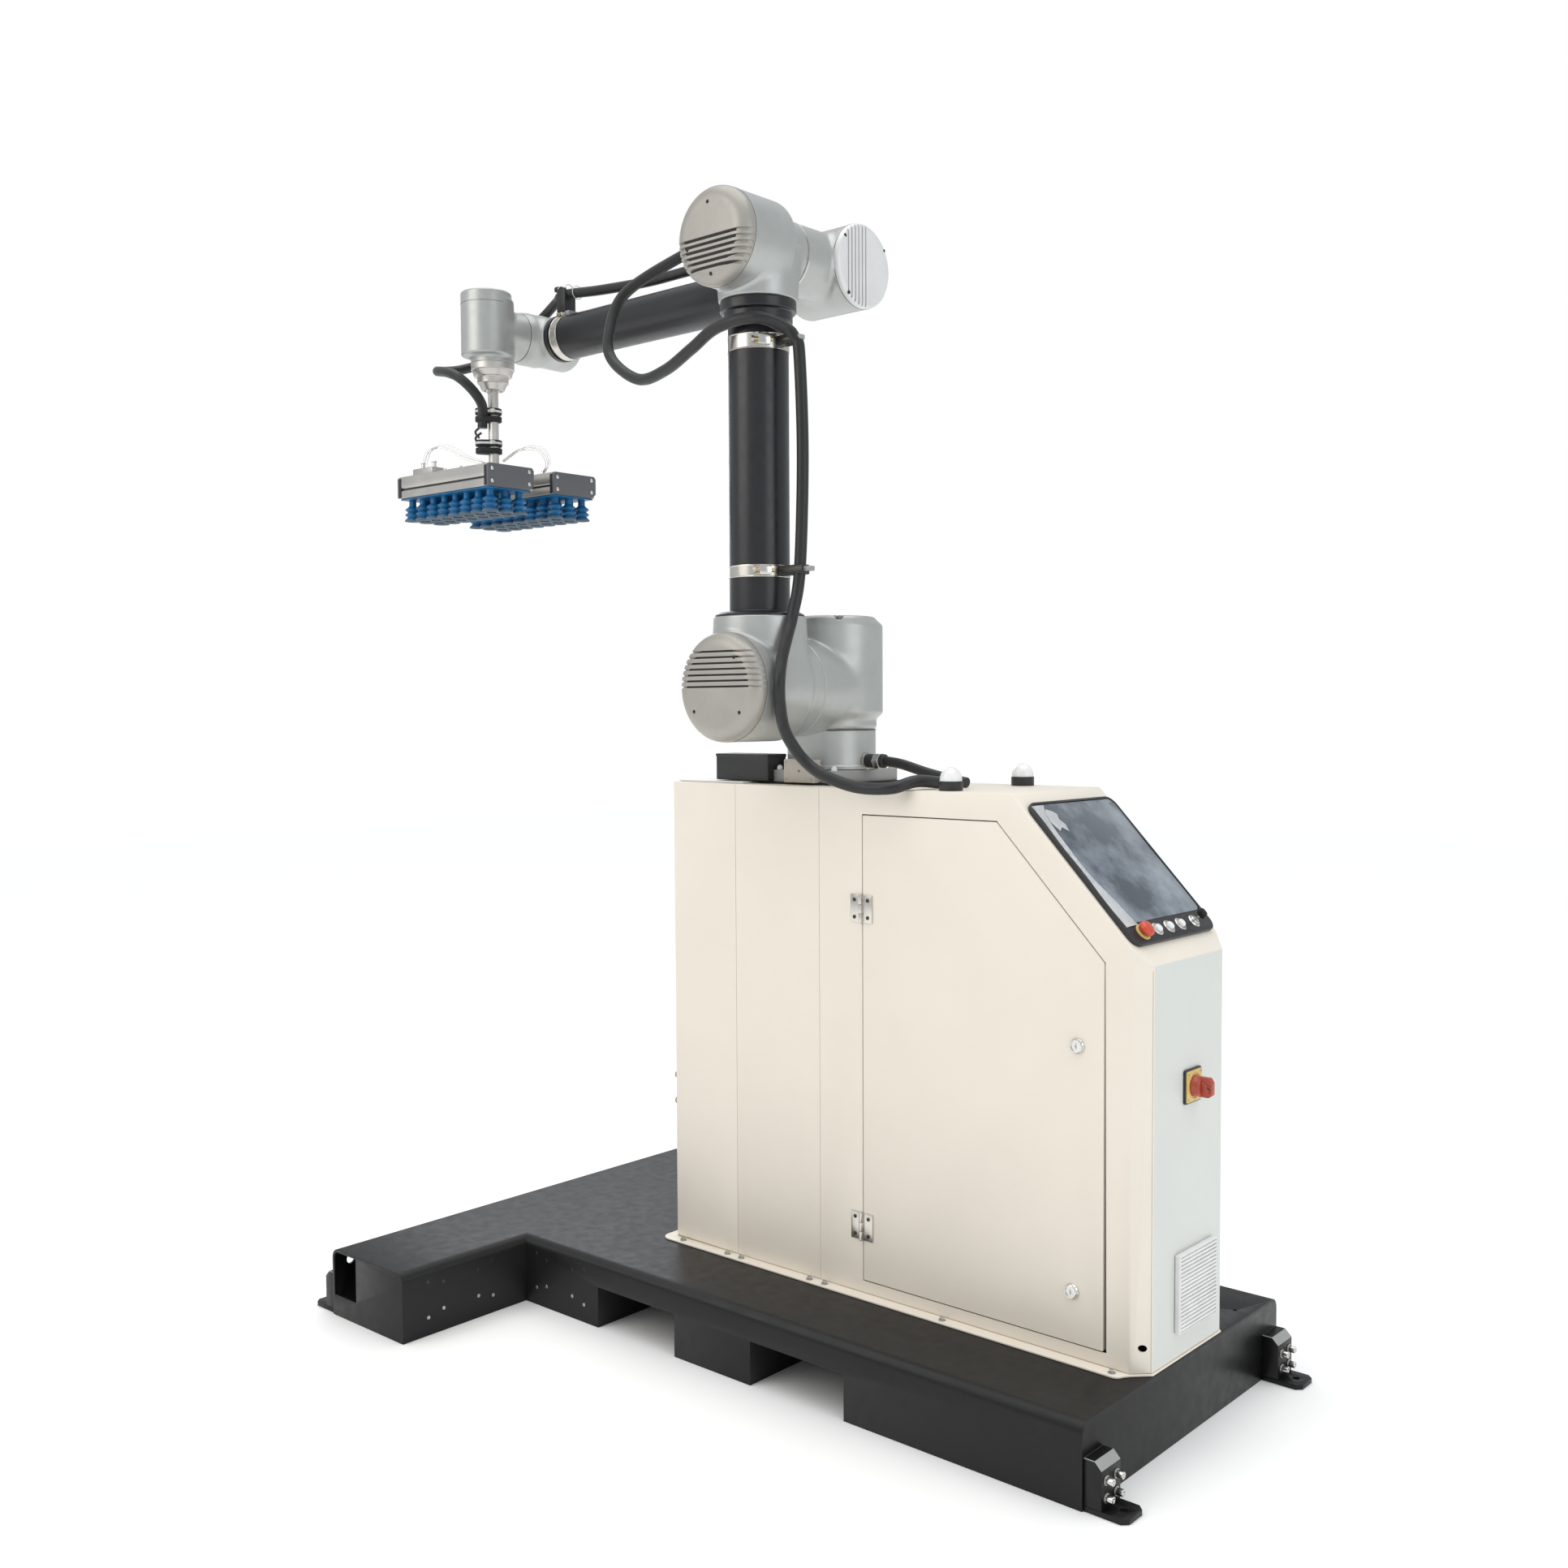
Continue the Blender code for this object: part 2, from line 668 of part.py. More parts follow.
def fan():
    """Three blades and a hub on the fan's axis, inside the vent's duct."""
    y = sum(VENT_Y) / 2
    z = sum(VENT_Z) / 2
    x = CAB_FRONT_X - 0.030
    turn = pivot_at("fan_axis", (x, y, z))
    hub = rod((x - 0.012, y, z), (x + 0.012, y, z), 0.020, sides=20)
    blades = []
    for i in range(5):
        blade = box((-0.0012, -0.012, 0.012), (0.0012, 0.012, 0.055))
        place = Matrix.Translation((x, y, z)) @ Matrix.Rotation(math.radians(72 * i), 4, "X")
        shift = blade.matrix_world.copy()
        blade.matrix_world = place @ shift @ Matrix.Rotation(math.radians(30), 4, "Z")
        blades.append(blade)
    part("fan_rotor", join(hub, *blades), BLACK_PLASTIC, turn)


vent()
fan()


# Main switch
def main_switch():
    """A square plate and the turning handle in front of it."""
    y, z = SWITCH_YZ
    half = SWITCH_PLATE / 2
    x = CAB_FRONT_X + GAP
    frame = box((x, y - half, z - half), (x + 0.007, y + half, z + half))
    part("main_switch_plate", frame, YELLOW_PLASTIC)
    turn = pivot_at("main_switch_axis", (x, y, z))
    start = x + 0.007 + GAP
    knob = rod((start, y, z), (start + 0.016, y, z), 0.021, 0.018, sides=28)
    grip = box((start + 0.010, y - 0.0065, z - 0.019), (start + 0.038, y + 0.0065, z + 0.019))
    part("main_switch_handle", join(knob, grip), RED_PLASTIC, turn)


main_switch()

# Operator's console
BUTTON_ALONG = HMI_ALONG[1] - 0.024
BUTTON_Y = (-0.110, -0.055, -0.010, 0.035)
KEY_Y = 0.090


def slope_box(near, far, half_y, low, high):
    """A box that lies on the console, from near to far down the slope."""
    length = far - near
    work = bmesh.new()
    bmesh.ops.create_cube(work, size=1, matrix=Matrix.Diagonal((length, 2 * half_y, high - low, 1)))
    turn = Matrix((SLOPE_DOWN, (0, 1, 0), SLOPE_OUT)).transposed().to_4x4()
    return helper(mesh_of(work), Matrix.Translation(on_slope((near + far) / 2, 0, (low + high) / 2)) @ turn)


def console():
    """The operator panel's frame with its button strip, the screen, and the controls."""
    near, far = HMI_ALONG
    frame = slope_box(near, far, HMI_HALF_Y, GAP, 0.010)
    recess = slope_box(near + 0.014, far - 0.046, HMI_HALF_Y - 0.014, 0.006, 0.02)
    wells = [
        rod(on_slope(BUTTON_ALONG, y, 0.003), on_slope(BUTTON_ALONG, y, 0.02), 0.009, sides=20)
        for y in (*BUTTON_Y, KEY_Y)
    ]
    part("hmi_frame", cut(frame, recess, *wells), BLACK_PLASTIC)
    screen = slope_box(near + 0.015, far - 0.047, HMI_HALF_Y - 0.015, 0.0063, 0.0093)
    part("hmi_screen", screen, SCREEN_GLASS)


def plunger(y, head_r, stem_r, low, neck, top):
    """A button: a head on a stem that runs in the panel's well."""
    stem = rod(on_slope(BUTTON_ALONG, y, low), on_slope(BUTTON_ALONG, y, neck + 0.002), stem_r, sides=16)
    head = rod(on_slope(BUTTON_ALONG, y, neck), on_slope(BUTTON_ALONG, y, top), head_r, sides=20)
    return join(head, stem)


def controls():
    names = ("estop_button", "start_button", "stop_button", "reset_button")
    for name, y in zip(names, BUTTON_Y):
        slide = pivot_at(name + "_axis", on_slope(BUTTON_ALONG, y, 0.010))
        if name == "estop_button":
            part(name, plunger(y, 0.016, 0.0075, 0.0085, 0.016, 0.030), RED_PLASTIC, slide)
        else:
            part(name, plunger(y, 0.0085, 0.0075, 0.0075, 0.0100, 0.0175), WHITE_PLASTIC, slide)
    turn = pivot_at("key_axis", on_slope(BUTTON_ALONG, KEY_Y, 0.010))
    barrel = rod(on_slope(BUTTON_ALONG, KEY_Y, 0.004), on_slope(BUTTON_ALONG, KEY_Y, 0.016), 0.0085, sides=16)
    blade = slope_box(BUTTON_ALONG - 0.010, BUTTON_ALONG + 0.010, 0.0012, 0.014, 0.042)
    blade.matrix_world = Matrix.Translation((0, KEY_Y, 0)) @ blade.matrix_world
    part("key_switch", join(barrel, blade), STAINLESS, turn)


console()
controls()


# Beacons
def beacon(name, y):
    """A black foot with a white dome."""
    dome = [(0.024 * math.cos(t), 0.022 + 0.025 * math.sin(t)) for t in np.radians((90, 70, 50, 30, 10))]
    profile = [*dome, (0.024, 0.019), (0.024, 0)]
    profile[0] = (0, profile[0][1])
    profile.append((0, 0))
    part(name, turned(profile, Matrix.Translation((BEACON_X, y, CAB_TOP + GAP)), 24), WHITE_PLASTIC)


beacon("beacon_near", -BEACON_Y)
beacon("beacon_far", BEACON_Y)

# Door
HINGE_AXIS = (DOOR_X[0], -CAB_HALF_Y - 0.006)
DOOR_FACE = -CAB_HALF_Y - 0.0015
DOOR_BODY = pivot_at("door_axis", (*HINGE_AXIS, DOOR_Z[0]))


def door():
    """The sheet door with its folded edge, and the hinges' moving leaves."""
    sheet = slab(door_outline(DOOR_GAP), DOOR_FACE, DOOR_FACE + DOOR_THICK, AROUND_Y)
    hollow = slab(door_outline(DOOR_GAP + 0.002), DOOR_FACE + 0.002, 1, AROUND_Y)
    holes = [rod((x, -0.3, z), (x, 0, z), 0.010, sides=20) for x, z in LOCKS_XZ]
    swing = box((DOOR_X[0] - 0.01, -CAB_HALF_Y + 0.0035, 0), (DOOR_X[0] + 0.012, 0, 2))
    x = HINGE_AXIS[0]
    leaves = []
    for z in HINGE_Z:
        half = HINGE_SIZE / 2
        leaves.append(box((x + 0.006, DOOR_FACE - 0.0022, z - half), (x + half, DOOR_FACE + 0.001, z + half)))
        leaves.append(box((x + 0.0052, DOOR_FACE - 0.0045, z - 0.0095), (x + 0.009, DOOR_FACE + 0.001, z + 0.0095)))
    part("door", join(cut(sheet, hollow, swing, *holes), *leaves), IVORY, DOOR_BODY)


def hinge(name, z):
    """The fixed leaf with the pin's barrel."""
    x, y = HINGE_AXIS
    half = HINGE_SIZE / 2
    face = -CAB_HALF_Y - GAP
    leaf = box((x - half, face - 0.0022, z - half), (x - 0.001, face, z + half))
    barrel = rod((x, y, z - half), (x, y, z + half), 0.0045, sides=16)
    part(name, join(leaf, barrel), STAINLESS)


def lock(name, x, z):
    """A quarter-turn lock: the round head outside, its shaft, and the cam behind the door."""
    turn = pivot_at(name + "_axis", (x, DOOR_FACE, z), DOOR_BODY)
    head = rod((x, DOOR_FACE - 0.007, z), (x, DOOR_FACE - GAP, z), 0.0125, LOCK_R, sides=24)
    shaft = rod((x, DOOR_FACE - 0.003, z), (x, DOOR_FACE + 0.030, z), 0.0095, sides=20)
    cam = box((x - 0.008, DOOR_FACE + 0.024, z - 0.012), (x + 0.008, DOOR_FACE + 0.027, z + 0.045))
    part(name, join(head, shaft, cam), STAINLESS, turn)


door()
hinge("upper_hinge", HINGE_Z[0])
hinge("lower_hinge", HINGE_Z[1])
lock("upper_lock", *LOCKS_XZ[0])
lock("lower_lock", *LOCKS_XZ[1])


# Arm
J1_AXIS = pivot_at("j1_axis", (0, 0, J1_SEAM))
J2_AXIS = pivot_at("j2_axis", (0, J2_SEAM_Y, J2_Z), J1_AXIS)
J3_AXIS = pivot_at("j3_axis", (0, J3_SEAM_Y, J3_Z), J2_AXIS)
J4_AXIS = pivot_at("j4_axis", (J4_X, J4_SEAM_Y, J4_Z), J3_AXIS)
J5_AXIS = pivot_at("j5_axis", (J4_X, J5_Y, J5_LOW), J4_AXIS)


def riser():
    """The plate that carries the arm, with the junction boxes that stand on it."""
    plate = box((-0.110, -0.110, CAB_TOP + 0.004 + GAP), (0.100, 0.110, RISER_TOP - GAP))
    box_near = box((-0.026, -0.132, CAB_TOP + GAP), (0.062, -0.108, 1.269))
    box_left = box((-0.232, -0.130, CAB_TOP + GAP), (-0.0745, -0.068, 1.278))
    part("robot_riser", join(plate, box_near, box_left), ZINC)


def j1_base():
    """The arm's foot, with its cable outlet toward the operator's end."""
    foot = rod((0, 0, RISER_TOP), (0, 0, J1_SEAM - GAP), J1_RADIUS)
    outlet = rod((0.080, 0.000, 1.264), (0.1497, 0.000, 1.264), 0.016, sides=20)
    part("j1_base", join(foot, outlet), CASTING)


def shoulder():
    """The upright housing of the first axis, with the boss that carries the second."""
    body = rod((0, 0, J1_SEAM), (0, 0, SHOULDER_TOP - 0.012), 0.100)
    crown = rod((0, 0, SHOULDER_TOP - 0.020), (0, 0, SHOULDER_TOP), 0.100, 0.090)
    boss = rod((0, 0, J2_Z), (0, J2_SEAM_Y + GAP, J2_Z), 0.088, 0.106)
    seat = rod((0, 0, J1_SEAM - 0.1), (0, 0, J1_SEAM), J1_RADIUS + 0.003)
    part("shoulder_housing", cut(join(body, crown, boss), seat), CASTING, J1_AXIS)


def joint_housing(z, radius, seam_y, neck_r, neck_z, cap, wide_end, ring_r):
    """A cup along Y that is open toward the door's side, with a ring at the joint and a neck for the tube."""
    open_y = cap[2]
    body = rod((0, open_y, z), (0, wide_end, z), radius)
    ring = rod((0, open_y - 0.02, z), (0, seam_y - GAP, z), ring_r)
    neck = rod((0, ARM_Y, z), (0, ARM_Y, neck_z), neck_r)
    room = rod((0, open_y - 0.1, z), (0, wide_end - 0.008, z), radius - 0.012)
    bore = rod((0, wide_end - 0.02, z), (0, seam_y - 0.022, z), ring_r - 0.016)
    turning_room = rod((0, seam_y - GAP, z), (0, 0, z), radius)
    front_room = rod((0, open_y, z), (0, open_y - 0.1, z), radius)
    return cut(join(body, ring, neck), room, bore, turning_room, front_room)


def joint_cap(z, radius, flat_r, cap, middle_z, grooves):
    """The cover of a joint: a thick disc with a rounded front and cooling grooves between its ribs."""
    front, round_end, seam = cap
    disc = rod((0, round_end, z), (0, seam - GAP, z), radius)
    turns = np.radians((0, 30, 60, 90))
    rings = [
        (flat_r + (radius - flat_r) * math.cos(t), round_end + (front - round_end) * math.sin(t)) for t in turns
    ]
    steps = [
        rod((0, y1, z), (0, y0 + 0.0005, z), r1, r0) for (r0, y0), (r1, y1) in zip(rings, rings[1:])
    ]
    slots = []
    for i in range(grooves):
        slot_z = middle_z + CAP_PITCH * (i - (grooves - 1) / 2)
        slots.append(box((-radius, front - 0.01, slot_z - 0.0026), (radius, front + 0.006, slot_z + 0.0026)))
    return cut(join(disc, *steps), *slots)


def joint_drive(z, radius, seam_y, cap, wide_end, ring_r):
    """The servo motor with its strain-wave gear: a shaft in the ring, a wide gear end and a narrower motor."""
    back = wide_end - 0.008 - GAP
    front = cap[2] + 0.004
    shaft = rod((0, seam_y - 0.022 - GAP, z), (0, back - 0.01, z), ring_r - 0.030, sides=28)
    gear = rod((0, back, z), (0, back - 0.060, z), radius - 0.016, sides=28)
    motor = rod((0, back - 0.050, z), (0, front, z), radius - 0.040, sides=28)
    return join(gear, motor, shaft)


def upper_arm():
    """The second joint's housing, its cover and drive, and the long tube with its collars."""
    wide = J2_SEAM_Y - 0.040
    ring = J2_RADIUS - 0.0064
    neck = J2_NECK_TOP - 0.014
    part("j2_housing", joint_housing(J2_Z, J2_RADIUS, J2_SEAM_Y, 0.0975, neck, J2_CAP_Y, wide, ring), CASTING, J2_AXIS)
    part("j2_drive", joint_drive(J2_Z, J2_RADIUS, J2_SEAM_Y, J2_CAP_Y, wide, ring), ZINC, J2_AXIS)
    part("j2_cap", joint_cap(J2_Z, J2_RADIUS, J2_FLAT_R, J2_CAP_Y, J2_Z + 0.037, 7), CAST_CAP, J2_AXIS)
    low = J2_NECK_TOP - 0.014 + GAP
    high = J3_NECK_LOW - GAP
    tube_body = rod((0, ARM_Y, low), (0, ARM_Y, high), UPPER_TUBE_R)
    collar = rod((0, ARM_Y, low), (0, ARM_Y, J2_NECK_TOP), 0.094)
    ring = rod((0, ARM_Y, high - 0.030), (0, ARM_Y, high), 0.078)
    bore = rod((0, ARM_Y, 0), (0, ARM_Y, 3), UPPER_TUBE_R - 0.006, sides=28)
    part("upper_tube", cut(join(tube_body, collar, ring), bore), TUBE_BLACK, J2_AXIS)
    wide = J3_WIDE_END_Y
    ring = J3_RING_R
    part("j3_housing", joint_housing(J3_Z, J3_RADIUS, J3_SEAM_Y, 0.083, J3_NECK_LOW, J3_CAP_Y, wide, ring), CASTING, J2_AXIS)
    part("j3_drive", joint_drive(J3_Z, J3_RADIUS, J3_SEAM_Y, J3_CAP_Y, wide, ring), ZINC, J2_AXIS)
    part("j3_cap", joint_cap(J3_Z, J3_RADIUS, J3_FLAT_R, J3_CAP_Y, J3_Z - 0.036, 6), CAST_CAP, J2_AXIS)


def forearm():
    """The forearm's root housing and its tube."""
    x0, x1 = FOREARM_ROOT_X
    root = rod((x0 + 0.03, FOREARM_Y, J3_Z), (x1 - 0.010, FOREARM_Y, J3_Z), FOREARM_ROOT_R)
    cover = rod((x1 - 0.012, FOREARM_Y, J3_Z), (x1, FOREARM_Y, J3_Z), FOREARM_ROOT_R, FOREARM_ROOT_R - 0.010)
    neck = rod((x0, FOREARM_Y, J3_Z), (x0 + 0.05, FOREARM_Y, J3_Z), 0.064, 0.080)
    boss = rod((0, FOREARM_Y, J3_Z), (0, J3_SEAM_Y + GAP, J3_Z), 0.078, J3_RING_R)
    part("forearm_root", join(root, cover, neck, boss), CASTING, J3_AXIS)
    start = x0 - GAP
    tube_body = rod((start, FOREARM_Y, J3_Z), (FOREARM_TUBE_END, FOREARM_Y, J3_Z), FOREARM_TUBE_R)
    bore = rod((start + 1, FOREARM_Y, J3_Z), (-2, FOREARM_Y, J3_Z), FOREARM_TUBE_R - 0.005, sides=28)
    part("forearm_tube", cut(tube_body, bore), TUBE_BLACK, J3_AXIS)


def wrist():
    """The fourth axis's housing on the forearm and the fifth axis's housing beside it."""
    start = FOREARM_TUBE_END - GAP
    body = rod((J4_X, J4_BACK_Y, J4_Z), (J4_X, J4_SEAM_Y + GAP, J4_Z), J4_RADIUS)
    neck = rod((start, FOREARM_Y, J3_Z), (start - 0.050, FOREARM_Y, J3_Z), 0.054)
    part("j4_housing", join(body, neck), CASTING, J3_AXIS)
    upright = rod((J4_X, J5_Y, J5_LOW + GAP), (J4_X, J5_Y, J5_TOP - 0.020), TOOL_RADII[0])
    x = J4_X + J5_BULGE[0]
    y = J5_Y + J5_BULGE[1]
    bulge = rod((x, y, J5_WIDE_LOW), (x, y, J5_TOP - 0.006), J5_RADIUS)
    crown = rod((x, y, J5_TOP - 0.008), (x, y, J5_TOP), J5_RADIUS, J5_RADIUS - 0.006)
    boss = rod((J4_X, J5_Y, J4_Z), (J4_X, J4_SEAM_Y - GAP, J4_Z), 0.054, J4_RADIUS)
    part("j5_housing", join(upright, bulge, crown, boss), CASTING, J4_AXIS)


def tool_shaft():
    """The turning flange with its steps and the shaft that carries the gripper."""
    step = (J5_LOW - TOOL_FLANGE_LOW) / len(TOOL_RADII)
    profile = [(0, J5_LOW)]
    for i, radius in enumerate(TOOL_RADII):
        profile.append((radius, J5_LOW - i * step))
        profile.append((radius, J5_LOW - (i + 1) * step))
    profile += [(ROD_R, TOOL_FLANGE_LOW), (ROD_R, ROD_LOW), (0, ROD_LOW)]
    part("tool_shaft", turned(profile, Matrix.Translation((J4_X, J5_Y, 0)), 28), ALUMINIUM, J5_AXIS)


riser()
j1_base()
shoulder()
upper_arm()
forearm()
wrist()
tool_shaft()

# Gripper
PLATE_THICK = ROD_LOW - GAP - BAR_Z[1] - GAP


def cross_plate():
    low = BAR_Z[1] + GAP
    plate = box((J4_X - 0.045, NEAR_BAR_Y[0] + 0.03, low), (J4_X + 0.045, FAR_BAR_Y[1] - 0.03, low + PLATE_THICK))
    part("gripper_cross_plate", plate, ALUMINIUM, J5_AXIS)


def gripper_bar(name, span):
    """An aluminium vacuum bar: a hollow section with a groove along each side."""
    y0, y1 = span
    x0, x1 = BAR_X
    z0, z1 = BAR_Z
    bar = box((x0, y0, z0), (x1, y1, z1))
    slots = [box((x0 + 0.004, y - 0.002, z0 + 0.020), (x1 - 0.004, y + 0.002, z0 + 0.026)) for y in (y0, y1)]
    t = BAR_WALL
    chamber = box((x0 - 1, y0 + t, z0 + t), (x1 + 1, y1 - t, z1 - t))
    part(name, cut(bar, chamber, *slots), ALUMINIUM, J5_AXIS)


def cup_bank(name, span):
    """A rubber sheet under a bar with its rows of bellows cups."""
    middle = sum(span) / 2
    top = BAR_Z[0] - GAP
    x_middle = sum(BAR_X) / 2
    sheet = box((BAR_X[0] + 0.003, span[0] + 0.003, top - 0.004), (BAR_X[1] - 0.003, span[1] - 0.003, top))
    cups = []
    for row in range(CUP_ROWS):
        for i in range(CUPS_PER_ROW):
            x = x_middle + CUP_PITCH[0] * (i - (CUPS_PER_ROW - 1) / 2)
            y = middle + CUP_PITCH[1] * (row - (CUP_ROWS - 1) / 2)
            cups.append(rod((x, y, top - 0.002), (x, y, CUP_LOW), 0.010, CUP_RADIUS, sides=10))
    part(name, join(sheet, *cups), BLUE_RUBBER, J5_AXIS)


cross_plate()
gripper_bar("near_bar", NEAR_BAR_Y)
gripper_bar("far_bar", FAR_BAR_Y)
cup_bank("near_cups", NEAR_BAR_Y)
cup_bank("far_cups", FAR_BAR_Y)


# Hose and cables
def points(*values):
    return [Vector(value) for value in values]


# From the gland on the cabinet, round the shoulder, to the upper tube's lower clip
HOSE_LOWER = points(
    (0.352, -0.080, CAB_TOP + GAP + HOSE_R),
    (0.345, -0.150, 1.2310),
    (0.318, -0.198, 1.2180),
    (0.246, -0.216, 1.2190),
    (0.178, -0.236, 1.2410),
    (0.138, -0.247, 1.2680),
    (0.118, -0.265, 1.3020),
    (0.111, -0.284, 1.3380),
    (0.123, -0.310, 1.3850),
    (0.130, -0.320, 1.4310),
    (0.119, -0.300, 1.4770),
    (0.112, -0.275, 1.5250),
    (0.106, -0.250, 1.5730),
    (0.112, ARM_Y, 1.6670),
)
# Held along the upper tube by its two clips
HOSE_UPPER = points(
    (0.112, ARM_Y, 1.667),
    (0.121, ARM_Y, 1.898),
    (0.113, ARM_Y, 2.104),
)
# Across the front of the tube, down in a loop, up behind the elbow and along the forearm to its clip
HOSE_ELBOW = points(
    (0.113, ARM_Y, 2.104),
    (0.104, -0.238, 2.134),
    (0.092, -0.250, 2.154),
    (0.058, -0.305, 2.173),
    (-0.036, -0.320, 2.165),
    (-0.121, -0.310, 2.136),
    (-0.221, -0.290, 2.109),
    (-0.325, -0.270, 2.107),
    (-0.430, -0.250, 2.165),
    (-0.461, -0.235, 2.228),
    (-0.455, -0.190, 2.331),
    (-0.335, -0.120, 2.410),
    (-0.240, -0.085, 2.440),
    (-0.185, -0.020, 2.455),
    (-0.200, 0.050, 2.458),
    (-0.280, 0.075, 2.450),
    (-0.370, 0.060, 2.442),
    (-0.489, 0.030, 2.430),
    (-0.600, 0.016, 2.425),
    (-0.762, FOREARM_Y, 2.434),
    (-0.900, FOREARM_Y, 2.446),
)
# Over the wrist, round in front of it and down to the shaft's strap
HOSE_WRIST = points(
    (-0.900, FOREARM_Y, 2.446),
    (-0.955, 0.035, 2.442),
    (-1.020, 0.050, 2.422),
    (-1.085, 0.030, 2.370),
    (-1.122, -0.030, 2.310),
    (-1.148, -0.120, 2.272),
    (-1.152, -0.175, 2.258),
    (-1.135, -0.215, 2.250),
    (-1.070, -0.232, 2.235),
    (-1.018, -0.235, 2.214),
    (-0.991, -0.214, 2.182),
    (-0.991, -0.186, 2.150),
    (-1.006, -0.173, 2.120),
    (-1.008, -0.172, 2.095),
)
# From the arm's foot to the gland on the cabinet
ROBOT_CABLE = points(
    (0.1530, 0.000, 1.2640),
    (0.200, -0.003, 1.2580),
    (0.270, -0.010, 1.2420),
    (0.345, -0.025, 1.2300),
    (0.385, -0.030, CAB_TOP + GAP + ROBOT_CABLE_R),
)
AIR_LEFT = points(
    (-1.130, -0.250, BAR_Z[1] + GAP + AIR_TUBE_R),
    (-1.165, -0.240, 2.010),
    (-1.180, -0.215, 2.050),
    (-1.150, -0.190, 2.060),
    (-1.090, -0.170, 2.030),
    (-1.010, -0.150, 2.005),
)
AIR_RIGHT = points(
    (-0.870, -0.090, BAR_Z[1] + GAP + AIR_TUBE_R),
    (-0.850, -0.095, 2.000),
    (-0.865, -0.110, 2.030),
    (-0.910, -0.130, 2.035),
    (-0.960, -0.145, 2.010),
)


def hoses():
    """The hose in one piece for each stretch that moves with one body or bends between two."""
    stretches = (
        ("hose_lower", HOSE_LOWER, J1_AXIS),
        ("hose_upper_run", HOSE_UPPER, J2_AXIS),
        ("hose_elbow", HOSE_ELBOW, J3_AXIS),
        ("hose_wrist", HOSE_WRIST, J5_AXIS),
    )
    lines = smooth_stretches([route for _, route, _ in stretches], HOSE_STEP)
    for (name, _, pivot), line in zip(stretches, lines):
        tube(name, line, HOSE_R, HOSE_RUBBER, pivot)
    tube("robot_cable", smooth_route(ROBOT_CABLE, 0.035), ROBOT_CABLE_R, HOSE_RUBBER)
    tube("air_tube_left", smooth_route(AIR_LEFT, 0.015), AIR_TUBE_R, CLEAR_TUBE, J5_AXIS)
    tube("air_tube_right", smooth_route(AIR_RIGHT, 0.015), AIR_TUBE_R, CLEAR_TUBE, J5_AXIS)


hoses()
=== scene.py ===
"""Looks of the robot arm palletizing station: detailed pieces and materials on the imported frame."""
import json
import math

import bmesh
import bpy
import numpy as np
from mathutils import Matrix, Vector


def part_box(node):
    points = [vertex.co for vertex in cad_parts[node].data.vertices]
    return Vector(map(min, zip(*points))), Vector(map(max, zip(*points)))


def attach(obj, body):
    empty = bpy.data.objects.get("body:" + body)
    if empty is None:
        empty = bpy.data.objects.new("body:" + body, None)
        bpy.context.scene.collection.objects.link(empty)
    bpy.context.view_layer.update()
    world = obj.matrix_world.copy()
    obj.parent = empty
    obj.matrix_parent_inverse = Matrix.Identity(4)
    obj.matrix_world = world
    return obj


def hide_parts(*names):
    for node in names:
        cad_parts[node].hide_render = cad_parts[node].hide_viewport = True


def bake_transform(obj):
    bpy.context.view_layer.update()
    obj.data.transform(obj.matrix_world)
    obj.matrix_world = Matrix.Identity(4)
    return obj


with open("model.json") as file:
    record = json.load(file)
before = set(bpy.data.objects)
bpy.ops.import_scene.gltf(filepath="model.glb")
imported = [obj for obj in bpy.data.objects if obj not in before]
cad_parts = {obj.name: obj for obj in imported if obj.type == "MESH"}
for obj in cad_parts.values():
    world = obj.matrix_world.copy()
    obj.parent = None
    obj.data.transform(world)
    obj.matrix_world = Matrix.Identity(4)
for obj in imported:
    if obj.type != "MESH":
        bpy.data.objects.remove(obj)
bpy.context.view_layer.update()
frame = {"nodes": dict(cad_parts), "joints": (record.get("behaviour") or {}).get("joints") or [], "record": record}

X = Vector((1, 0, 0))
Y = Vector((0, 1, 0))
Z = Vector((0, 0, 1))


# ---------------------------------------------------------------- sizes read from the frame
def low(node):
    return Vector(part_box(node)[0])


def high(node):
    return Vector(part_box(node)[1])


def middle(node):
    return (low(node) + high(node)) / 2


JOINT = {joint["name"]: Vector(joint["pos_m"]) for joint in frame["joints"] if "pos_m" in joint}

DECK = high("base_main").z
BASE_FRONT = high("base_main").x
BASE_HALF = high("base_main").y
LEG_FRONT = high("base_crossbeam").x
LEG_REAR = low("base_crossbeam").x
LEG_HALF = high("base_crossbeam").y
FORK_POCKETS = [
    (Vector(o["box_m"][0]), Vector(o["box_m"][1]))
    for o in frame["record"]["physics"]["openings"]
    if o["name"].startswith("fork")
]
FORK_TOP = FORK_POCKETS[0][1].z + 0.0015
FOLD_R = 0.022

CAB_REAR = low("far_side_panel").x
CAB_FRONT = high("operator_end_panel").x
CAB_HALF = high("far_side_panel").y
CAB_TOP = high("cabinet_top_panel").z
CAB_FOOT = high("cabinet_foot_flange").z
CHAMFER = 0.030
PILLAR = CAB_FRONT - CHAMFER
SLOPE_TOP = Vector((0.583, 0, CAB_TOP))
SLOPE_FOOT = Vector((CAB_FRONT, 0, 0.910))
SLOPE_DOWN = (SLOPE_FOOT - SLOPE_TOP).normalized()
SLOPE_OUT = Vector((-SLOPE_DOWN.z, 0, SLOPE_DOWN.x))
SEAMS_X = (-0.140, 0.102)

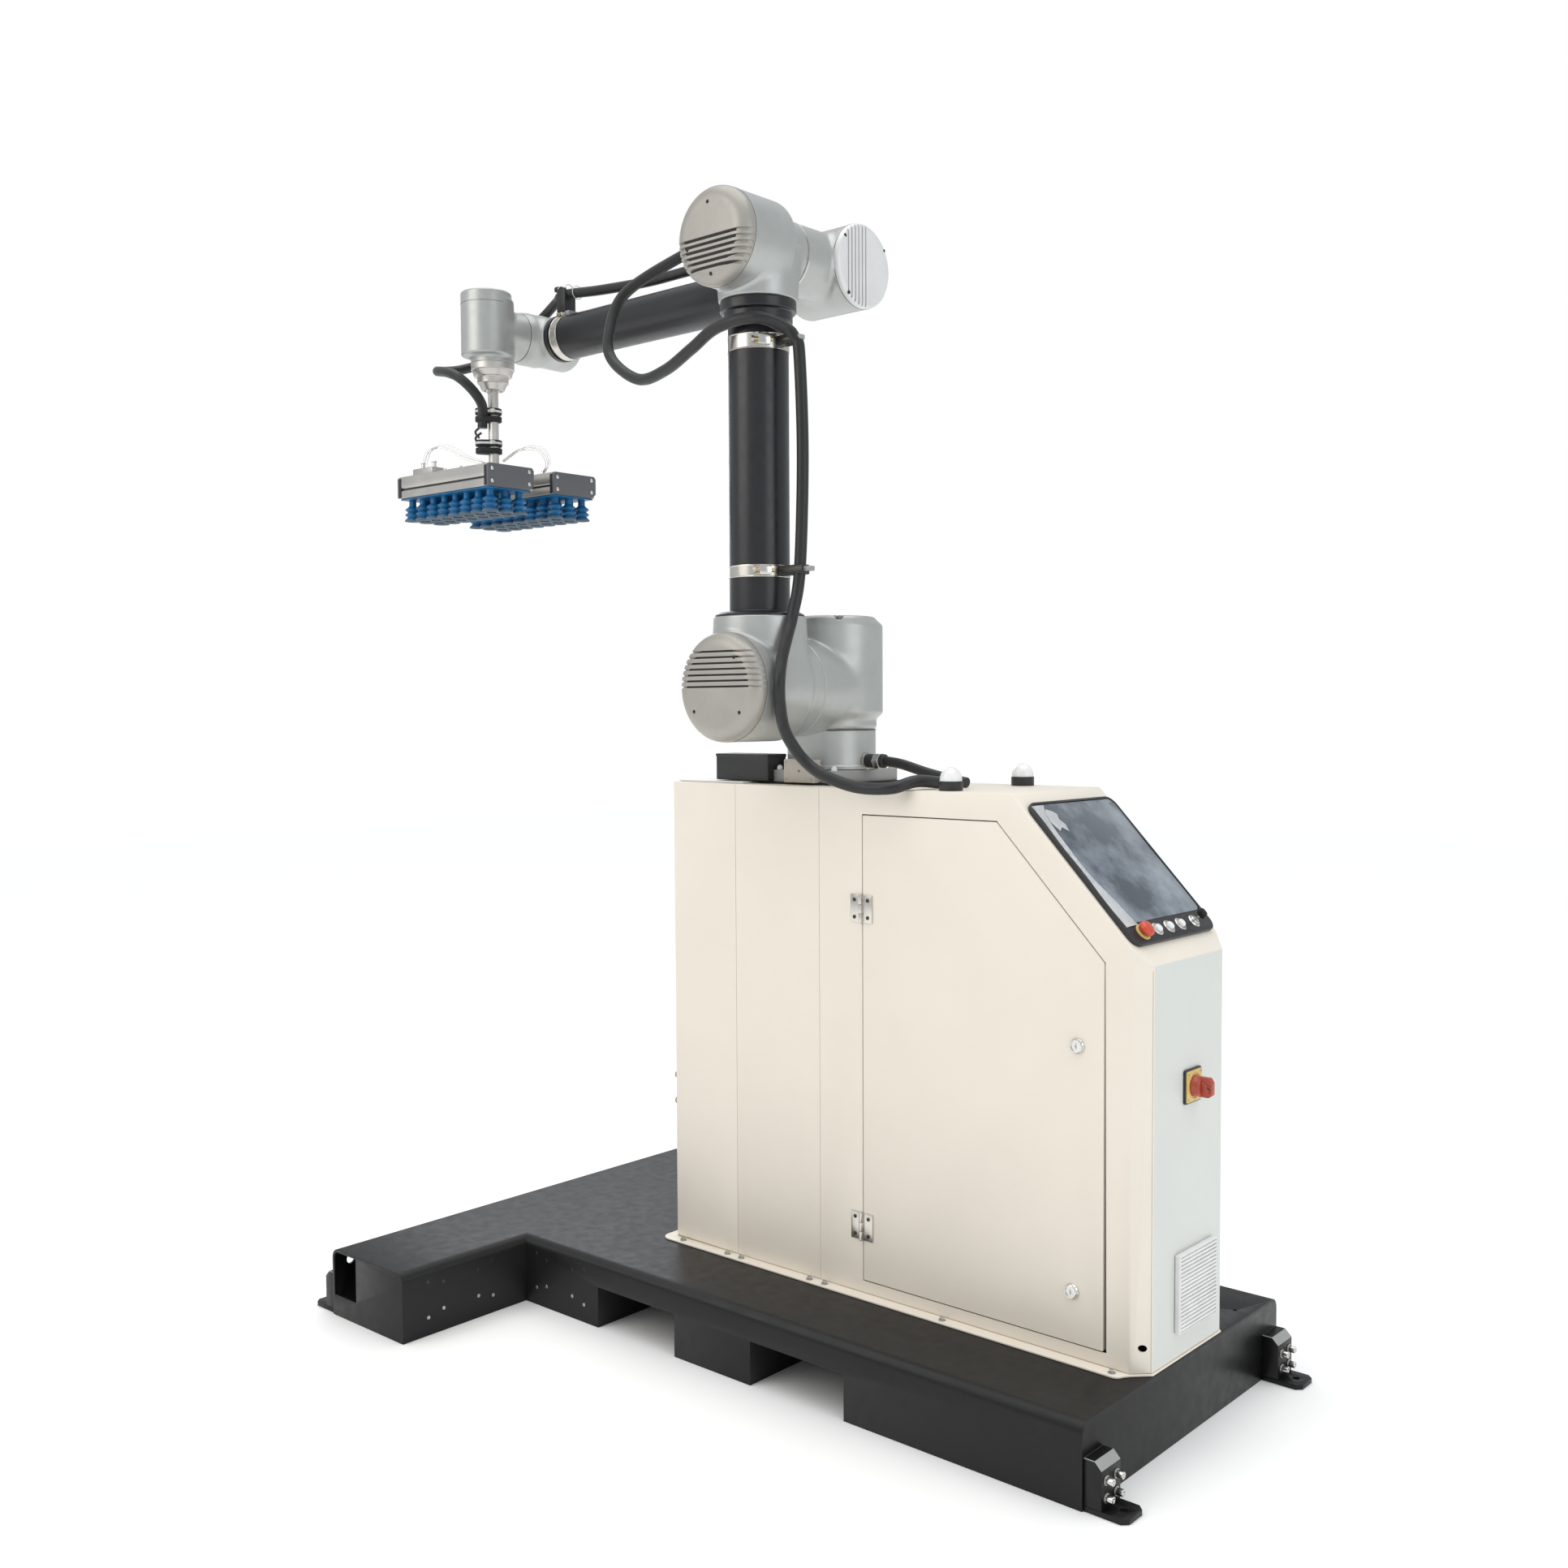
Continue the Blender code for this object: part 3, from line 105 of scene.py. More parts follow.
J2_Z = JOINT["j2_shoulder"].z
J2_SEAM = JOINT["j2_shoulder"].y
J3_Z = JOINT["j3_elbow"].z
J3_SEAM = JOINT["j3_elbow"].y
J4 = JOINT["j4_wrist"]
J5 = JOINT["j5_tool_turn"]
J1_SEAM = JOINT["j1_turn"].z
ARM_Y = middle("upper_tube").y
FOREARM_Y = middle("forearm_tube").y
J2_CAP = (low("j2_cap").y, -0.346, -0.337, 0.082)
J3_CAP = (low("j3_cap").y, -0.356, -0.348, 0.068)
CAP_PITCH = 0.012
UPPER_R = 0.0635
FOREARM_R = 0.055
HOSE_R = 0.0125


# ---------------------------------------------------------------- meshes in world coordinates
SHARP = 32


def linked(name, data):
    """A new object in the scene."""
    thing = bpy.data.objects.new(name, data)
    bpy.context.scene.collection.objects.link(thing)
    return thing


def applied(thing, *tools):
    """An object's mesh with its modifiers applied. The object and its tools are removed."""
    bpy.context.view_layer.update()
    seen = thing.evaluated_get(bpy.context.evaluated_depsgraph_get())
    result = bpy.data.meshes.new_from_object(seen)
    for gone in (*tools, thing):
        bpy.data.objects.remove(gone, do_unlink=True)
    return result


def sharpened(mesh, angle=SHARP):
    """The same mesh, shaded smooth but for its sharp edges."""
    mesh.shade_smooth()
    mesh.set_sharp_from_angle(angle=math.radians(angle))
    return mesh


def mesh_from(work, angle=SHARP):
    """A mesh made of a bmesh, shaded smooth but for its sharp edges."""
    bmesh.ops.recalc_face_normals(work, faces=work.faces)
    mesh = bpy.data.meshes.new("shape")
    work.to_mesh(mesh)
    work.free()
    return sharpened(mesh, angle)


def bevel_all(work, width, steps):
    """Rounds every edge that turns more than 20 degrees."""
    edges = [e for e in work.edges if len(e.link_faces) == 2 and e.calc_face_angle(0) > math.radians(20)]
    bmesh.ops.bevel(
        work, geom=edges, offset=width, offset_type="OFFSET", segments=steps, profile=0.5, affect="EDGES",
        clamp_overlap=True,
    )


def box(a, b, edge=0.0, steps=2):
    """A box between two corners, with rounded edges."""
    a = Vector(a)
    b = Vector(b)
    work = bmesh.new()
    size = Matrix.Diagonal((*(b - a), 1))
    bmesh.ops.create_cube(work, size=1, matrix=Matrix.Translation((a + b) / 2) @ size)
    if edge:
        bevel_all(work, edge, steps)
    return mesh_from(work)


def frame_to(start, direction):
    """The matrix that puts the origin at start and +Z along direction."""
    return Matrix.Translation(start) @ Vector(direction).to_track_quat("Z", "Y").to_matrix().to_4x4()


def lathe(profile, start, direction, sides=64, angle=SHARP):
    """A turned shape. The profile is (radius, height) and its ends are closed to the axis."""
    work = bmesh.new()
    place = frame_to(start, direction)
    turns = np.linspace(0, 2 * math.pi, sides, endpoint=False)
    rings = []
    for radius, height in profile:
        if radius < 1e-6:
            rings.append([work.verts.new(place @ Vector((0, 0, height)))])
            continue
        rings.append([
            work.verts.new(
                place @ Vector((radius * math.cos(t), radius * math.sin(t), height))
            ) for t in turns
        ])
    for one, two in zip(rings, rings[1:]):
        for i in range(sides):
            j = (i + 1) % sides
            corners = [one[i % len(one)], one[j % len(one)], two[j % len(two)], two[i % len(two)]]
            work.faces.new(list(dict.fromkeys(corners)))
    for ring in (rings[0], rings[-1]):
        if len(ring) > 1:
            work.faces.new(ring)
    return mesh_from(work, angle)


def round_end(radius, height, edge, up, steps=4):
    """Profile points of a rounded rim. up is 1 at the far end and -1 at the near end."""
    turns = np.linspace(0, math.pi / 2, steps + 1)
    points = [
        (radius - edge + edge * math.cos(t), height - up * edge + up * edge * math.sin(t)) for t in turns
    ]
    return points if up > 0 else points[::-1]


def rod(start, end, radius, end_radius=None, edge=0.0, sides=64, steps=4):
    """A cylinder or cone with rounded rims."""
    start = Vector(start)
    end = Vector(end)
    length = (end - start).length
    last = radius if end_radius is None else end_radius
    if edge:
        profile = round_end(radius, 0, edge, -1, steps) + round_end(last, length, edge, 1, steps)
    else:
        profile = [(radius, 0), (last, length)]
    return lathe(profile, start, end - start, sides)


def ring(centre, direction, radius, thick, sides=72):
    """A torus."""
    work = bmesh.new()
    place = frame_to(centre, direction)
    loops = []
    for t in np.linspace(0, 2 * math.pi, sides, endpoint=False):
        loop = []
        for s in np.linspace(0, 2 * math.pi, 8, endpoint=False):
            r = radius + thick * math.cos(s)
            loop.append(
                work.verts.new(place @ Vector((r * math.cos(t), r * math.sin(t), thick * math.sin(s))))
            )
        loops.append(loop)
    for i in range(sides):
        a, b = loops[i], loops[(i + 1) % sides]
        for k in range(8):
            work.faces.new((a[k], b[k], b[(k + 1) % 8], a[(k + 1) % 8]))
    return mesh_from(work)


def arc(centre, radius, start, stop, steps):
    turns = np.radians(np.linspace(start, stop, steps + 1))
    return [(centre[0] + radius * math.cos(t), centre[1] + radius * math.sin(t)) for t in turns]


PLANES = {
    "x": lambda a, b, depth: Vector((depth, a, b)),
    "y": lambda a, b, depth: Vector((a, depth, b)),
    "z": lambda a, b, depth: Vector((a, b, depth)),
}


def prism(points, near, far, facing="z", edge=0.0, steps=2, angle=SHARP):
    """A flat outline made thick. facing x takes (y, z) points, y takes (x, z) and z takes (x, y)."""
    put = PLANES[facing]
    work = bmesh.new()
    first = [work.verts.new(put(a, b, near)) for a, b in points]
    last = [work.verts.new(put(a, b, far)) for a, b in points]
    work.faces.new(first)
    work.faces.new(last)
    count = len(points)
    for i in range(count):
        j = (i + 1) % count
        work.faces.new((first[i], first[j], last[j], last[i]))
    bmesh.ops.recalc_face_normals(work, faces=work.faces)
    if edge:
        bevel_all(work, edge, steps)
    return mesh_from(work, angle)


def rounded_outline(half_a, half_b, radius, steps=6, centre=(0, 0)):
    """A rectangle with round corners."""
    a, b = half_a - radius, half_b - radius
    shape = (
        arc((a, -b), radius, 270, 360, steps)
        + arc((a, b), radius, 0, 90, steps)
        + arc((-a, b), radius, 90, 180, steps)
        + arc((-a, -b), radius, 180, 270, steps)
    )
    return [(p + centre[0], q + centre[1]) for p, q in shape]


def moved(mesh, matrix):
    mesh = mesh.copy()
    mesh.transform(matrix)
    return mesh


def spaced_along(points, step):
    """Evenly spaced points on a smooth curve through a route's points."""
    route = [Vector(p) for p in points]
    ends = [2 * route[0] - route[1], *route, 2 * route[-1] - route[-2]]
    fine = []
    for a, b, c, d in zip(ends, ends[1:], ends[2:], ends[3:]):
        for t in np.linspace(0, 1, 24, endpoint=False):
            bend = (2 * a - 5 * b + 4 * c - d) * t**2 + (3 * b - a - 3 * c + d) * t**3
            fine.append(0.5 * (2 * b + (c - a) * t + bend))
    fine.append(route[-1])
    fine = np.array([tuple(p) for p in fine])
    run = np.concatenate([[0], np.cumsum(np.linalg.norm(np.diff(fine, axis=0), axis=1))])
    at = np.linspace(0, run[-1], max(3, round(run[-1] / step) + 1))
    return np.stack([np.interp(at, run, fine[:, k]) for k in range(3)], axis=1)


def tube(line, radius, sides=16, wave=0.0, pitch=0.004):
    """A round tube along points, with small ribs if wave is given."""
    line = [Vector(p) for p in line]
    work = bmesh.new()
    side = (line[1] - line[0]).orthogonal().normalized()
    loops = []
    run = 0.0
    for i, point in enumerate(line):
        before = line[max(i - 1, 0)]
        after = line[min(i + 1, len(line) - 1)]
        ahead = (after - before).normalized()
        side = (side - ahead * side.dot(ahead)).normalized()
        other = ahead.cross(side)
        run += (point - before).length
        r = radius + wave * math.cos(2 * math.pi * run / pitch)
        loops.append([
            work.verts.new(point + side * (r * math.cos(t)) + other * (r * math.sin(t)))
            for t in np.linspace(0, 2 * math.pi, sides, endpoint=False)
        ])
    for a, b in zip(loops, loops[1:]):
        for k in range(sides):
            work.faces.new((a[k], a[(k + 1) % sides], b[(k + 1) % sides], b[k]))
    work.faces.new(loops[0])
    work.faces.new(loops[-1])
    return mesh_from(work, 50)


def boolean(mesh, others, operation):
    """The mesh after exact Booleans with the others."""
    thing = linked("shape", mesh)
    tools = [linked("tool", other) for other in others]
    for tool in tools:
        change = thing.modifiers.new("change", "BOOLEAN")
        change.operation = operation
        change.solver = "EXACT"
        change.object = tool
    result = applied(thing, *tools)
    result.materials.clear()
    return result


def cut(mesh, *others):
    return boolean(mesh, others, "DIFFERENCE")


def join(mesh, *others):
    return boolean(mesh, others, "UNION")


def soften(mesh, width, steps=2, angle=30):
    """The mesh with its sharp edges rounded."""
    thing = linked("shape", mesh)
    change = thing.modifiers.new("bevel", "BEVEL")
    change.width = width
    change.segments = steps
    change.limit_method = "ANGLE"
    change.angle_limit = math.radians(angle)
    change.miter_outer = "MITER_ARC"
    return sharpened(applied(thing))


# ---------------------------------------------------------------- castings with blended edges
def field_rod(start, end, radius, edge=0.004, end_radius=None):
    """The distance field of a cylinder or cone with rounded rims."""
    a = np.array(start, float)
    length = np.linalg.norm(np.array(end, float) - a)
    ahead = (np.array(end, float) - a) / length
    last = radius if end_radius is None else end_radius

    def distance(p):
        along = (p - a) @ ahead
        across = np.linalg.norm(p - a - along[:, None] * ahead, axis=1)
        size = radius + (last - radius) * np.clip(along / length, 0, 1)
        slope = math.cos(math.atan2(abs(last - radius), length))
        out = np.stack([(across - size) * slope + edge, np.abs(along - length / 2) - length / 2 + edge], 1)
        return np.minimum(out.max(1), 0) + np.linalg.norm(np.maximum(out, 0), axis=1) - edge

    return distance


def field_box(a, b, edge):
    """The distance field of a box with rounded edges."""
    centre = (np.array(a, float) + np.array(b, float)) / 2
    half = np.abs(np.array(b, float) - np.array(a, float)) / 2 - edge

    def distance(p):
        out = np.abs(p - centre) - half
        return np.minimum(out.max(1), 0) + np.linalg.norm(np.maximum(out, 0), axis=1) - edge

    return distance


def blend_of(fields, fillet):
    """The union of fields with a fillet between them."""
    def distance(p):
        total = fields[0](p)
        for other in fields[1:]:
            value = other(p)
            near = np.maximum(fillet - np.abs(total - value), 0) / fillet
            total = np.minimum(total, value) - near**2 * fillet / 4
        return total

    return distance


def carved(field, tool, fillet=0.001):
    """A field with another one taken out of it."""
    def distance(p):
        one, two = field(p), -tool(p)
        near = np.maximum(fillet - np.abs(one - two), 0) / fillet
        return np.maximum(one, two) + near**2 * fillet / 4

    return distance


def casting(field, seeds, cell=0.003):
    """The surface of a field: the seeds are remeshed together and their points moved on to the field."""
    work = bmesh.new()
    for seed in seeds:
        work.from_mesh(seed)
    mesh = bpy.data.meshes.new("casting")
    work.to_mesh(mesh)
    work.free()
    thing = linked("casting", mesh)
    remesh = thing.modifiers.new("remesh", "REMESH")
    remesh.mode = "VOXEL"
    remesh.voxel_size = cell
    result = applied(thing)
    points = np.zeros(len(result.vertices) * 3, np.float32)
    result.vertices.foreach_get("co", points)
    points = points.reshape(-1, 3).astype(float)
    step = 0.0002
    nudges = np.eye(3) * step

    def slope_at(p):
        slope = np.stack([field(p + n) - field(p - n) for n in nudges], 1) / (2 * step)
        return slope / np.maximum(np.linalg.norm(slope, axis=1, keepdims=True), 1e-6)

    for _ in range(5):
        points -= np.clip(field(points), -0.004, 0.004)[:, None] * slope_at(points)
    result.vertices.foreach_set("co", points.astype(np.float32).ravel())
    result.update()
    result.shade_smooth()
    result.normals_split_custom_set_from_vertices(slope_at(points).tolist())
    return result


def seeds_of(rods, edge=0.001):
    """The seed shapes of rods (start, end, radius, field edge, end radius)."""
    return [rod(start, end, radius, last, edge) for start, end, radius, _, last in rods]


def casting_of(rods, fillet, cell):
    """A casting made of rods only."""
    return casting(blend_of([field_rod(*values) for values in rods], fillet), seeds_of(rods), cell)


# ---------------------------------------------------------------- materials
class Nodes:
    """A short way to write a material's nodes."""

    def __init__(self, name, colour, roughness, metallic=0.0, **constants):
        self.material = bpy.data.materials.new(name)
        self.material.use_nodes = True
        self.tree = self.material.node_tree
        self.shader = self.tree.nodes["Principled BSDF"]
        self.set("Base Color", (*colour, 1))
        self.set("Roughness", roughness)
        self.set("Metallic", metallic)
        for key, value in constants.items():
            self.set(key.replace("_", " "), value)
        self.place = self.tree.nodes.new("ShaderNodeTexCoord").outputs["Object"]

    def set(self, socket, value):
        self.shader.inputs[socket].default_value = value

    def link(self, value, socket):
        self.tree.links.new(value, socket)

    def stretch(self, scale):
        """The object's coordinates, stretched."""
        node = self.tree.nodes.new("ShaderNodeMapping")
        node.inputs["Scale"].default_value = scale
        self.link(self.place, node.inputs["Vector"])
        return node.outputs["Vector"]

    def noise(self, scale, detail=3.0, stretch=None, rough=0.55):
        node = self.tree.nodes.new("ShaderNodeTexNoise")
        node.inputs["Scale"].default_value = scale
        node.inputs["Detail"].default_value = detail
        node.inputs["Roughness"].default_value = rough
        self.link(self.stretch(stretch) if stretch else self.place, node.inputs["Vector"])
        return node.outputs["Fac"]

    def cells(self, scale, stretch=None):
        node = self.tree.nodes.new("ShaderNodeTexVoronoi")
        node.inputs["Scale"].default_value = scale
        self.link(self.stretch(stretch) if stretch else self.place, node.inputs["Vector"])
        return node.outputs["Distance"]

    def spread(self, value, low_in, high_in, low_out, high_out):
        node = self.tree.nodes.new("ShaderNodeMapRange")
        node.inputs["From Min"].default_value = low_in
        node.inputs["From Max"].default_value = high_in
        node.inputs["To Min"].default_value = low_out
        node.inputs["To Max"].default_value = high_out
        self.link(value, node.inputs["Value"])
        return node.outputs["Result"]

    def mix(self, factor, one, two):
        """Two colours or sockets mixed by a factor."""
        node = self.tree.nodes.new("ShaderNodeMix")
        node.data_type = "RGBA"
        self.link(factor, node.inputs["Factor"])
        for value, socket in ((one, node.inputs[6]), (two, node.inputs[7])):
            if isinstance(value, tuple):
                socket.default_value = (*value, 1)
            else:
                self.link(value, socket)
        return node.outputs[2]

    def colour(self, value):
        self.link(value, self.shader.inputs["Base Color"])

    def rough(self, value):
        self.link(value, self.shader.inputs["Roughness"])

    def bump(self, height, strength, distance):
        node = self.tree.nodes.new("ShaderNodeBump")
        node.inputs["Strength"].default_value = strength
        node.inputs["Distance"].default_value = distance
        self.link(height, node.inputs["Height"])
        if self.shader.inputs["Normal"].is_linked:
            self.link(self.shader.inputs["Normal"].links[0].from_socket, node.inputs["Normal"])
        self.link(node.outputs["Normal"], self.shader.inputs["Normal"])


def tint(colour, factor):
    return tuple(min(c * factor, 1.0) for c in colour)


def powder_coat(name, colour, roughness=0.42, grain=900, bump=0.12, dust=None, **constants):
    """Sprayed paint: fine orange peel, faint cloudiness and a little dust."""
    n = Nodes(name, colour, roughness, **constants)
    cloud = n.noise(5.5, 4)
    base = n.mix(n.spread(cloud, 0.35, 0.65, 0, 1), tint(colour, 0.985), tint(colour, 1.01))
    if dust:
        marks = n.spread(n.noise(11, 8, rough=0.7), 0.58, 0.80, 0, 0.45)
        base = n.mix(marks, base, dust)
    n.colour(base)
    n.rough(n.spread(n.noise(38, 3), 0.3, 0.7, roughness - 0.05, roughness + 0.06))
    n.bump(n.noise(grain, 2), bump, 0.0004)
    return n.material


def metal(name, colour, roughness, streak=(1, 1, 1), scale=320, depth=0.10, metallic=1.0):
    """Bare metal with fine brush lines along one direction."""
    n = Nodes(name, colour, roughness, metallic)
    lines = n.noise(scale, 4, streak, 0.7)
    n.colour(n.mix(n.spread(n.noise(9, 4), 0.35, 0.7, 0, 1), tint(colour, 0.88), tint(colour, 1.06)))
    n.rough(n.spread(lines, 0.3, 0.7, roughness - 0.07, roughness + 0.10))
    n.bump(lines, depth, 0.0002)
    return n.material


def plastic(name, colour, roughness, grain=1400, bump=0.08, **constants):
    """Moulded plastic with a fine grain."""
    n = Nodes(name, colour, roughness, **constants)
    n.colour(n.mix(n.spread(n.noise(30, 3), 0.35, 0.65, 0, 1), tint(colour, 0.95), tint(colour, 1.04)))
    n.rough(n.spread(n.noise(90, 2), 0.3, 0.7, roughness - 0.04, roughness + 0.05))
    n.bump(n.noise(grain, 2), bump, 0.0002)
    return n.material


def cast_paint(name, colour, roughness=0.36, metallic=0.55):
    """Satin metallic lacquer on a casting: fine flakes over a slightly uneven skin."""
    n = Nodes(name, colour, roughness, metallic, Coat_Weight=0.25, Coat_Roughness=0.35)
    flakes = n.cells(2600)
    cloud = n.spread(n.noise(14, 4), 0.35, 0.65, 0, 1)
    base = n.mix(cloud, tint(colour, 0.95), tint(colour, 1.04))
    n.colour(n.mix(n.spread(flakes, 0.1, 0.6, 0, 0.22), base, tint(colour, 1.30)))
    n.rough(n.spread(n.noise(60, 3), 0.3, 0.7, roughness - 0.04, roughness + 0.06))
    n.bump(n.noise(420, 3), 0.07, 0.0005)
    n.bump(n.noise(18, 2), 0.05, 0.002)
    return n.material


def tube_skin(name, colour, roughness):
    """Satin black tube with faint draw marks."""
    n = Nodes(name, colour, roughness, Coat_Weight=0.15, Coat_Roughness=0.25)
    n.colour(n.mix(n.spread(n.noise(7, 4), 0.35, 0.65, 0, 1), tint(colour, 0.92), tint(colour, 1.1)))
    n.rough(n.spread(n.noise(40, 4), 0.3, 0.7, roughness - 0.05, roughness + 0.07))
    n.bump(n.noise(700, 2), 0.06, 0.0003)
    return n.material


def rubber(name, colour, roughness, grain=800, bump=0.10, **constants):
    n = Nodes(name, colour, roughness, **constants)
    n.colour(n.mix(n.spread(n.noise(24, 5), 0.4, 0.7, 0, 1), tint(colour, 0.85), tint(colour, 1.25)))
    n.rough(n.spread(n.noise(70, 3), 0.3, 0.7, roughness - 0.06, roughness + 0.08))
    n.bump(n.noise(grain, 2), bump, 0.0003)
    return n.material


def film(name):
    """The screen's protective film: scratches, dust and a pale blue-grey haze over a dark panel; the haze is
    partly the film's own haze and partly painted reflection of the bright room.
    """
    dark = (0.060, 0.078, 0.100)
    pale = (0.46, 0.52, 0.58)
    n = Nodes(name, dark, 0.16, Coat_Weight=0.6, Coat_Roughness=0.08)
    # Pale blue-grey blotches: partly film haze, partly painted reflection of the bright room.
    haze_and_reflection = n.spread(n.noise(7, 5, (1, 1, 1), 0.6), 0.42, 0.75, 0.0, 0.75)
    scratch = n.spread(n.noise(60, 6, (1.0, 7.0, 1.0), 0.75), 0.66, 0.74, 0, 0.55)
    dust = n.spread(n.cells(120), 0.0, 0.14, 0.8, 0)
    specks = n.spread(n.noise(26, 3), 0.60, 0.70, 0, 1)
    base = n.mix(haze_and_reflection, dark, pale)
    base = n.mix(scratch, base, (0.72, 0.76, 0.80))
    spotted = n.mix(dust, base, (0.85, 0.88, 0.92))
    n.colour(n.mix(specks, base, spotted))
    n.rough(n.spread(n.noise(30, 4), 0.3, 0.7, 0.12, 0.34))
    n.bump(n.noise(16, 3), 0.20, 0.002)
    return n.material


def clear_plastic(name, colour):
    n = Nodes(name, colour, 0.12, Transmission_Weight=0.75, IOR=1.35)
    n.rough(n.spread(n.noise(120, 2), 0.3, 0.7, 0.08, 0.2))
    return n.material


BLACK_STEEL = powder_coat(
    "black_powder_coat", (0.0060, 0.0060, 0.0066), 0.37, 700, 0.08, (0.016, 0.015, 0.014),
    Specular_IOR_Level=0.32
)
IVORY = powder_coat("ivory_powder_coat", (0.83, 0.765, 0.665), 0.40, 850, 0.08)
# The cooler, greyer white below is the ivory coat as it looks under the cool light on the operator's end: painted
# light.
COOL_LIT_END_WHITE = powder_coat("cool_lit_end_coat", (0.68, 0.695, 0.66), 0.40, 850, 0.08)
CASTING = cast_paint("silver_casting", (0.44, 0.455, 0.440))
CAP = cast_paint("silver_cap", (0.37, 0.350, 0.318), 0.42, 0.40)
COVER_WHITE = cast_paint("pale_cover", (0.74, 0.745, 0.735), 0.40, 0.20)
TUBE = tube_skin("satin_black_tube", (0.0095, 0.0095, 0.0120), 0.33)
STAINLESS = metal("brushed_stainless", (0.66, 0.63, 0.58), 0.24, (1, 1, 24))
POLISHED = metal("polished_steel", (0.72, 0.71, 0.69), 0.16, (4, 4, 4), 90, 0.03)
ALUMINIUM = metal("extruded_aluminium", (0.62, 0.60, 0.565), 0.36, (0.06, 18, 18), 260, 0.12)
SHAFT = metal("turned_aluminium", (0.66, 0.635, 0.60), 0.40, (1, 1, 40), 160, 0.08)
ZINC = metal("zinc_plate", (0.50, 0.49, 0.46), 0.40, (3, 3, 3), 140, 0.06)
GREY_STEEL = powder_coat("grey_plate", (0.33, 0.33, 0.325), 0.38, 900, 0.08)
BRASS = metal("brass", (0.58, 0.43, 0.20), 0.28, (6, 6, 6), 120, 0.04)
DARK_METAL = metal("blackened_steel", (0.085, 0.080, 0.075), 0.38, (4, 4, 4), 200, 0.08)
BLACK_PLASTIC = plastic("black_plastic", (0.020, 0.020, 0.021), 0.42)
SLATE_PLATE = powder_coat("slate_end_plate", (0.115, 0.120, 0.132), 0.40, 1200, 0.08)
DARK_EDGE = plastic("dark_edge", (0.012, 0.012, 0.016), 0.45)
WHITE_PLASTIC = plastic("white_plastic", (0.80, 0.80, 0.785), 0.40)
LENS = plastic("milk_lens", (0.86, 0.86, 0.85), 0.25, Subsurface_Weight=0.15, Coat_Weight=0.4)
RED_PLASTIC = plastic("red_plastic", (0.60, 0.055, 0.020), 0.32, Coat_Weight=0.3)
RUST_RED = plastic("handle_red", (0.42, 0.060, 0.030), 0.34, Coat_Weight=0.3)
YELLOW = plastic("yellow_plate", (0.72, 0.52, 0.16), 0.42)
BEIGE = plastic("beige_box", (0.47, 0.43, 0.37), 0.45)
BLUE = rubber("blue_silicone", (0.007, 0.130, 0.310), 0.36, 500, 0.06, Subsurface_Weight=0.04)
LIP = rubber("cup_lip", (0.085, 0.125, 0.165), 0.55, 500, 0.06)
HOSE = rubber("black_hose", (0.0095, 0.0095, 0.0100), 0.42, 1200, 0.12, Sheen_Weight=0.1)
STRAP = rubber("black_strap", (0.010, 0.010, 0.014), 0.60, 600, 0.25)
# A dark surface set into seams, grooves and slots: painted shade for the gaps.
RECESS_SHADE = rubber("seam_shadow", (0.035, 0.036, 0.036), 0.70)
TIE = plastic("white_tie", (0.70, 0.70, 0.68), 0.35)
SCREEN = film("screen_film")
PEELED = plastic("peeled_film", (0.93, 0.935, 0.94), 0.22, 90, 0.3, Coat_Weight=0.5)
CLEAR = clear_plastic("clear_air_tube", (0.86, 0.85, 0.81))


# ---------------------------------------------------------------- pieces
def said(thing, body, stands_for):
    """Tells the frame what a piece rides on, which nodes it stands for."""
    if body:
        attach(thing, body)
    if stands_for:
        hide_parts(*stands_for)
    return thing


def shown(name, parts, body, stands_for):
    """One piece made of (mesh, material) parts, riding on a body."""
    looks = list(dict.fromkeys(material for _, material in parts))
    work = bmesh.new()
    mesh = bpy.data.meshes.new(name)
    for shape, material in parts:
        start = len(work.faces)
        work.from_mesh(shape)
        work.faces.ensure_lookup_table()
        for face in work.faces[start:]:
            face.material_index = looks.index(material)
    work.to_mesh(mesh)
    work.free()
    for material in looks:
        mesh.materials.append(material)
    return said(linked(name, mesh), body, stands_for)


def cast_piece(name, mesh, body, node):
    """A casting as its own piece, which keeps its exact normals."""
    mesh.name = name
    mesh.materials.clear()
    mesh.materials.append(CASTING)
    said(linked(name, mesh), body, [node])


def socket_screw(at, out, radius, height, material=POLISHED):
    """A cap screw with a hexagon socket."""
    head = rod(at, Vector(at) + Vector(out) * height, radius, edge=radius * 0.12, sides=28)
    well = lathe(
        [(radius * 0.5, 0), (radius * 0.5, height)], Vector(at) + Vector(out) * height * 0.45, out, 6,
    )
    return cut(head, well), material


def hex_bolt(at, out, radius, height, material=ZINC):
    """A hexagon head on a washer."""
    start = Vector(at)
    out = Vector(out)
    washer = rod(start, start + out * height * 0.18, radius * 1.35, edge=radius * 0.05, sides=28)
    head = lathe(
        [(radius, 0), (radius, height * 0.8), (radius * 0.85, height)], start + out * height * 0.18, out, 6,
        20
    )
    return [(washer, material), (head, material)]


def button_screw(at, out, radius, material=ZINC):
    """A low round head with a small recess."""
    out = Vector(out)
    dome = [
        (radius, 0), (radius * 0.98, radius * 0.18), (radius * 0.75, radius * 0.45),
        (radius * 0.35, radius * 0.58),
    ]
    dome += [(radius * 0.30, radius * 0.35), (0, radius * 0.35)]
    return lathe(dome, at, out, 20), material


def split_by(mesh, test):
    """The faces of a mesh that pass a test, and the others."""
    halves = []
    for wanted in (True, False):
        work = bmesh.new()
        work.from_mesh(mesh)
        gone = [f for f in work.faces if bool(test(f)) != wanted]
        bmesh.ops.delete(work, geom=gone, context="FACES")
        half = bpy.data.meshes.new("half")
        work.to_mesh(half)
        work.free()
        halves.append(half)
    return halves


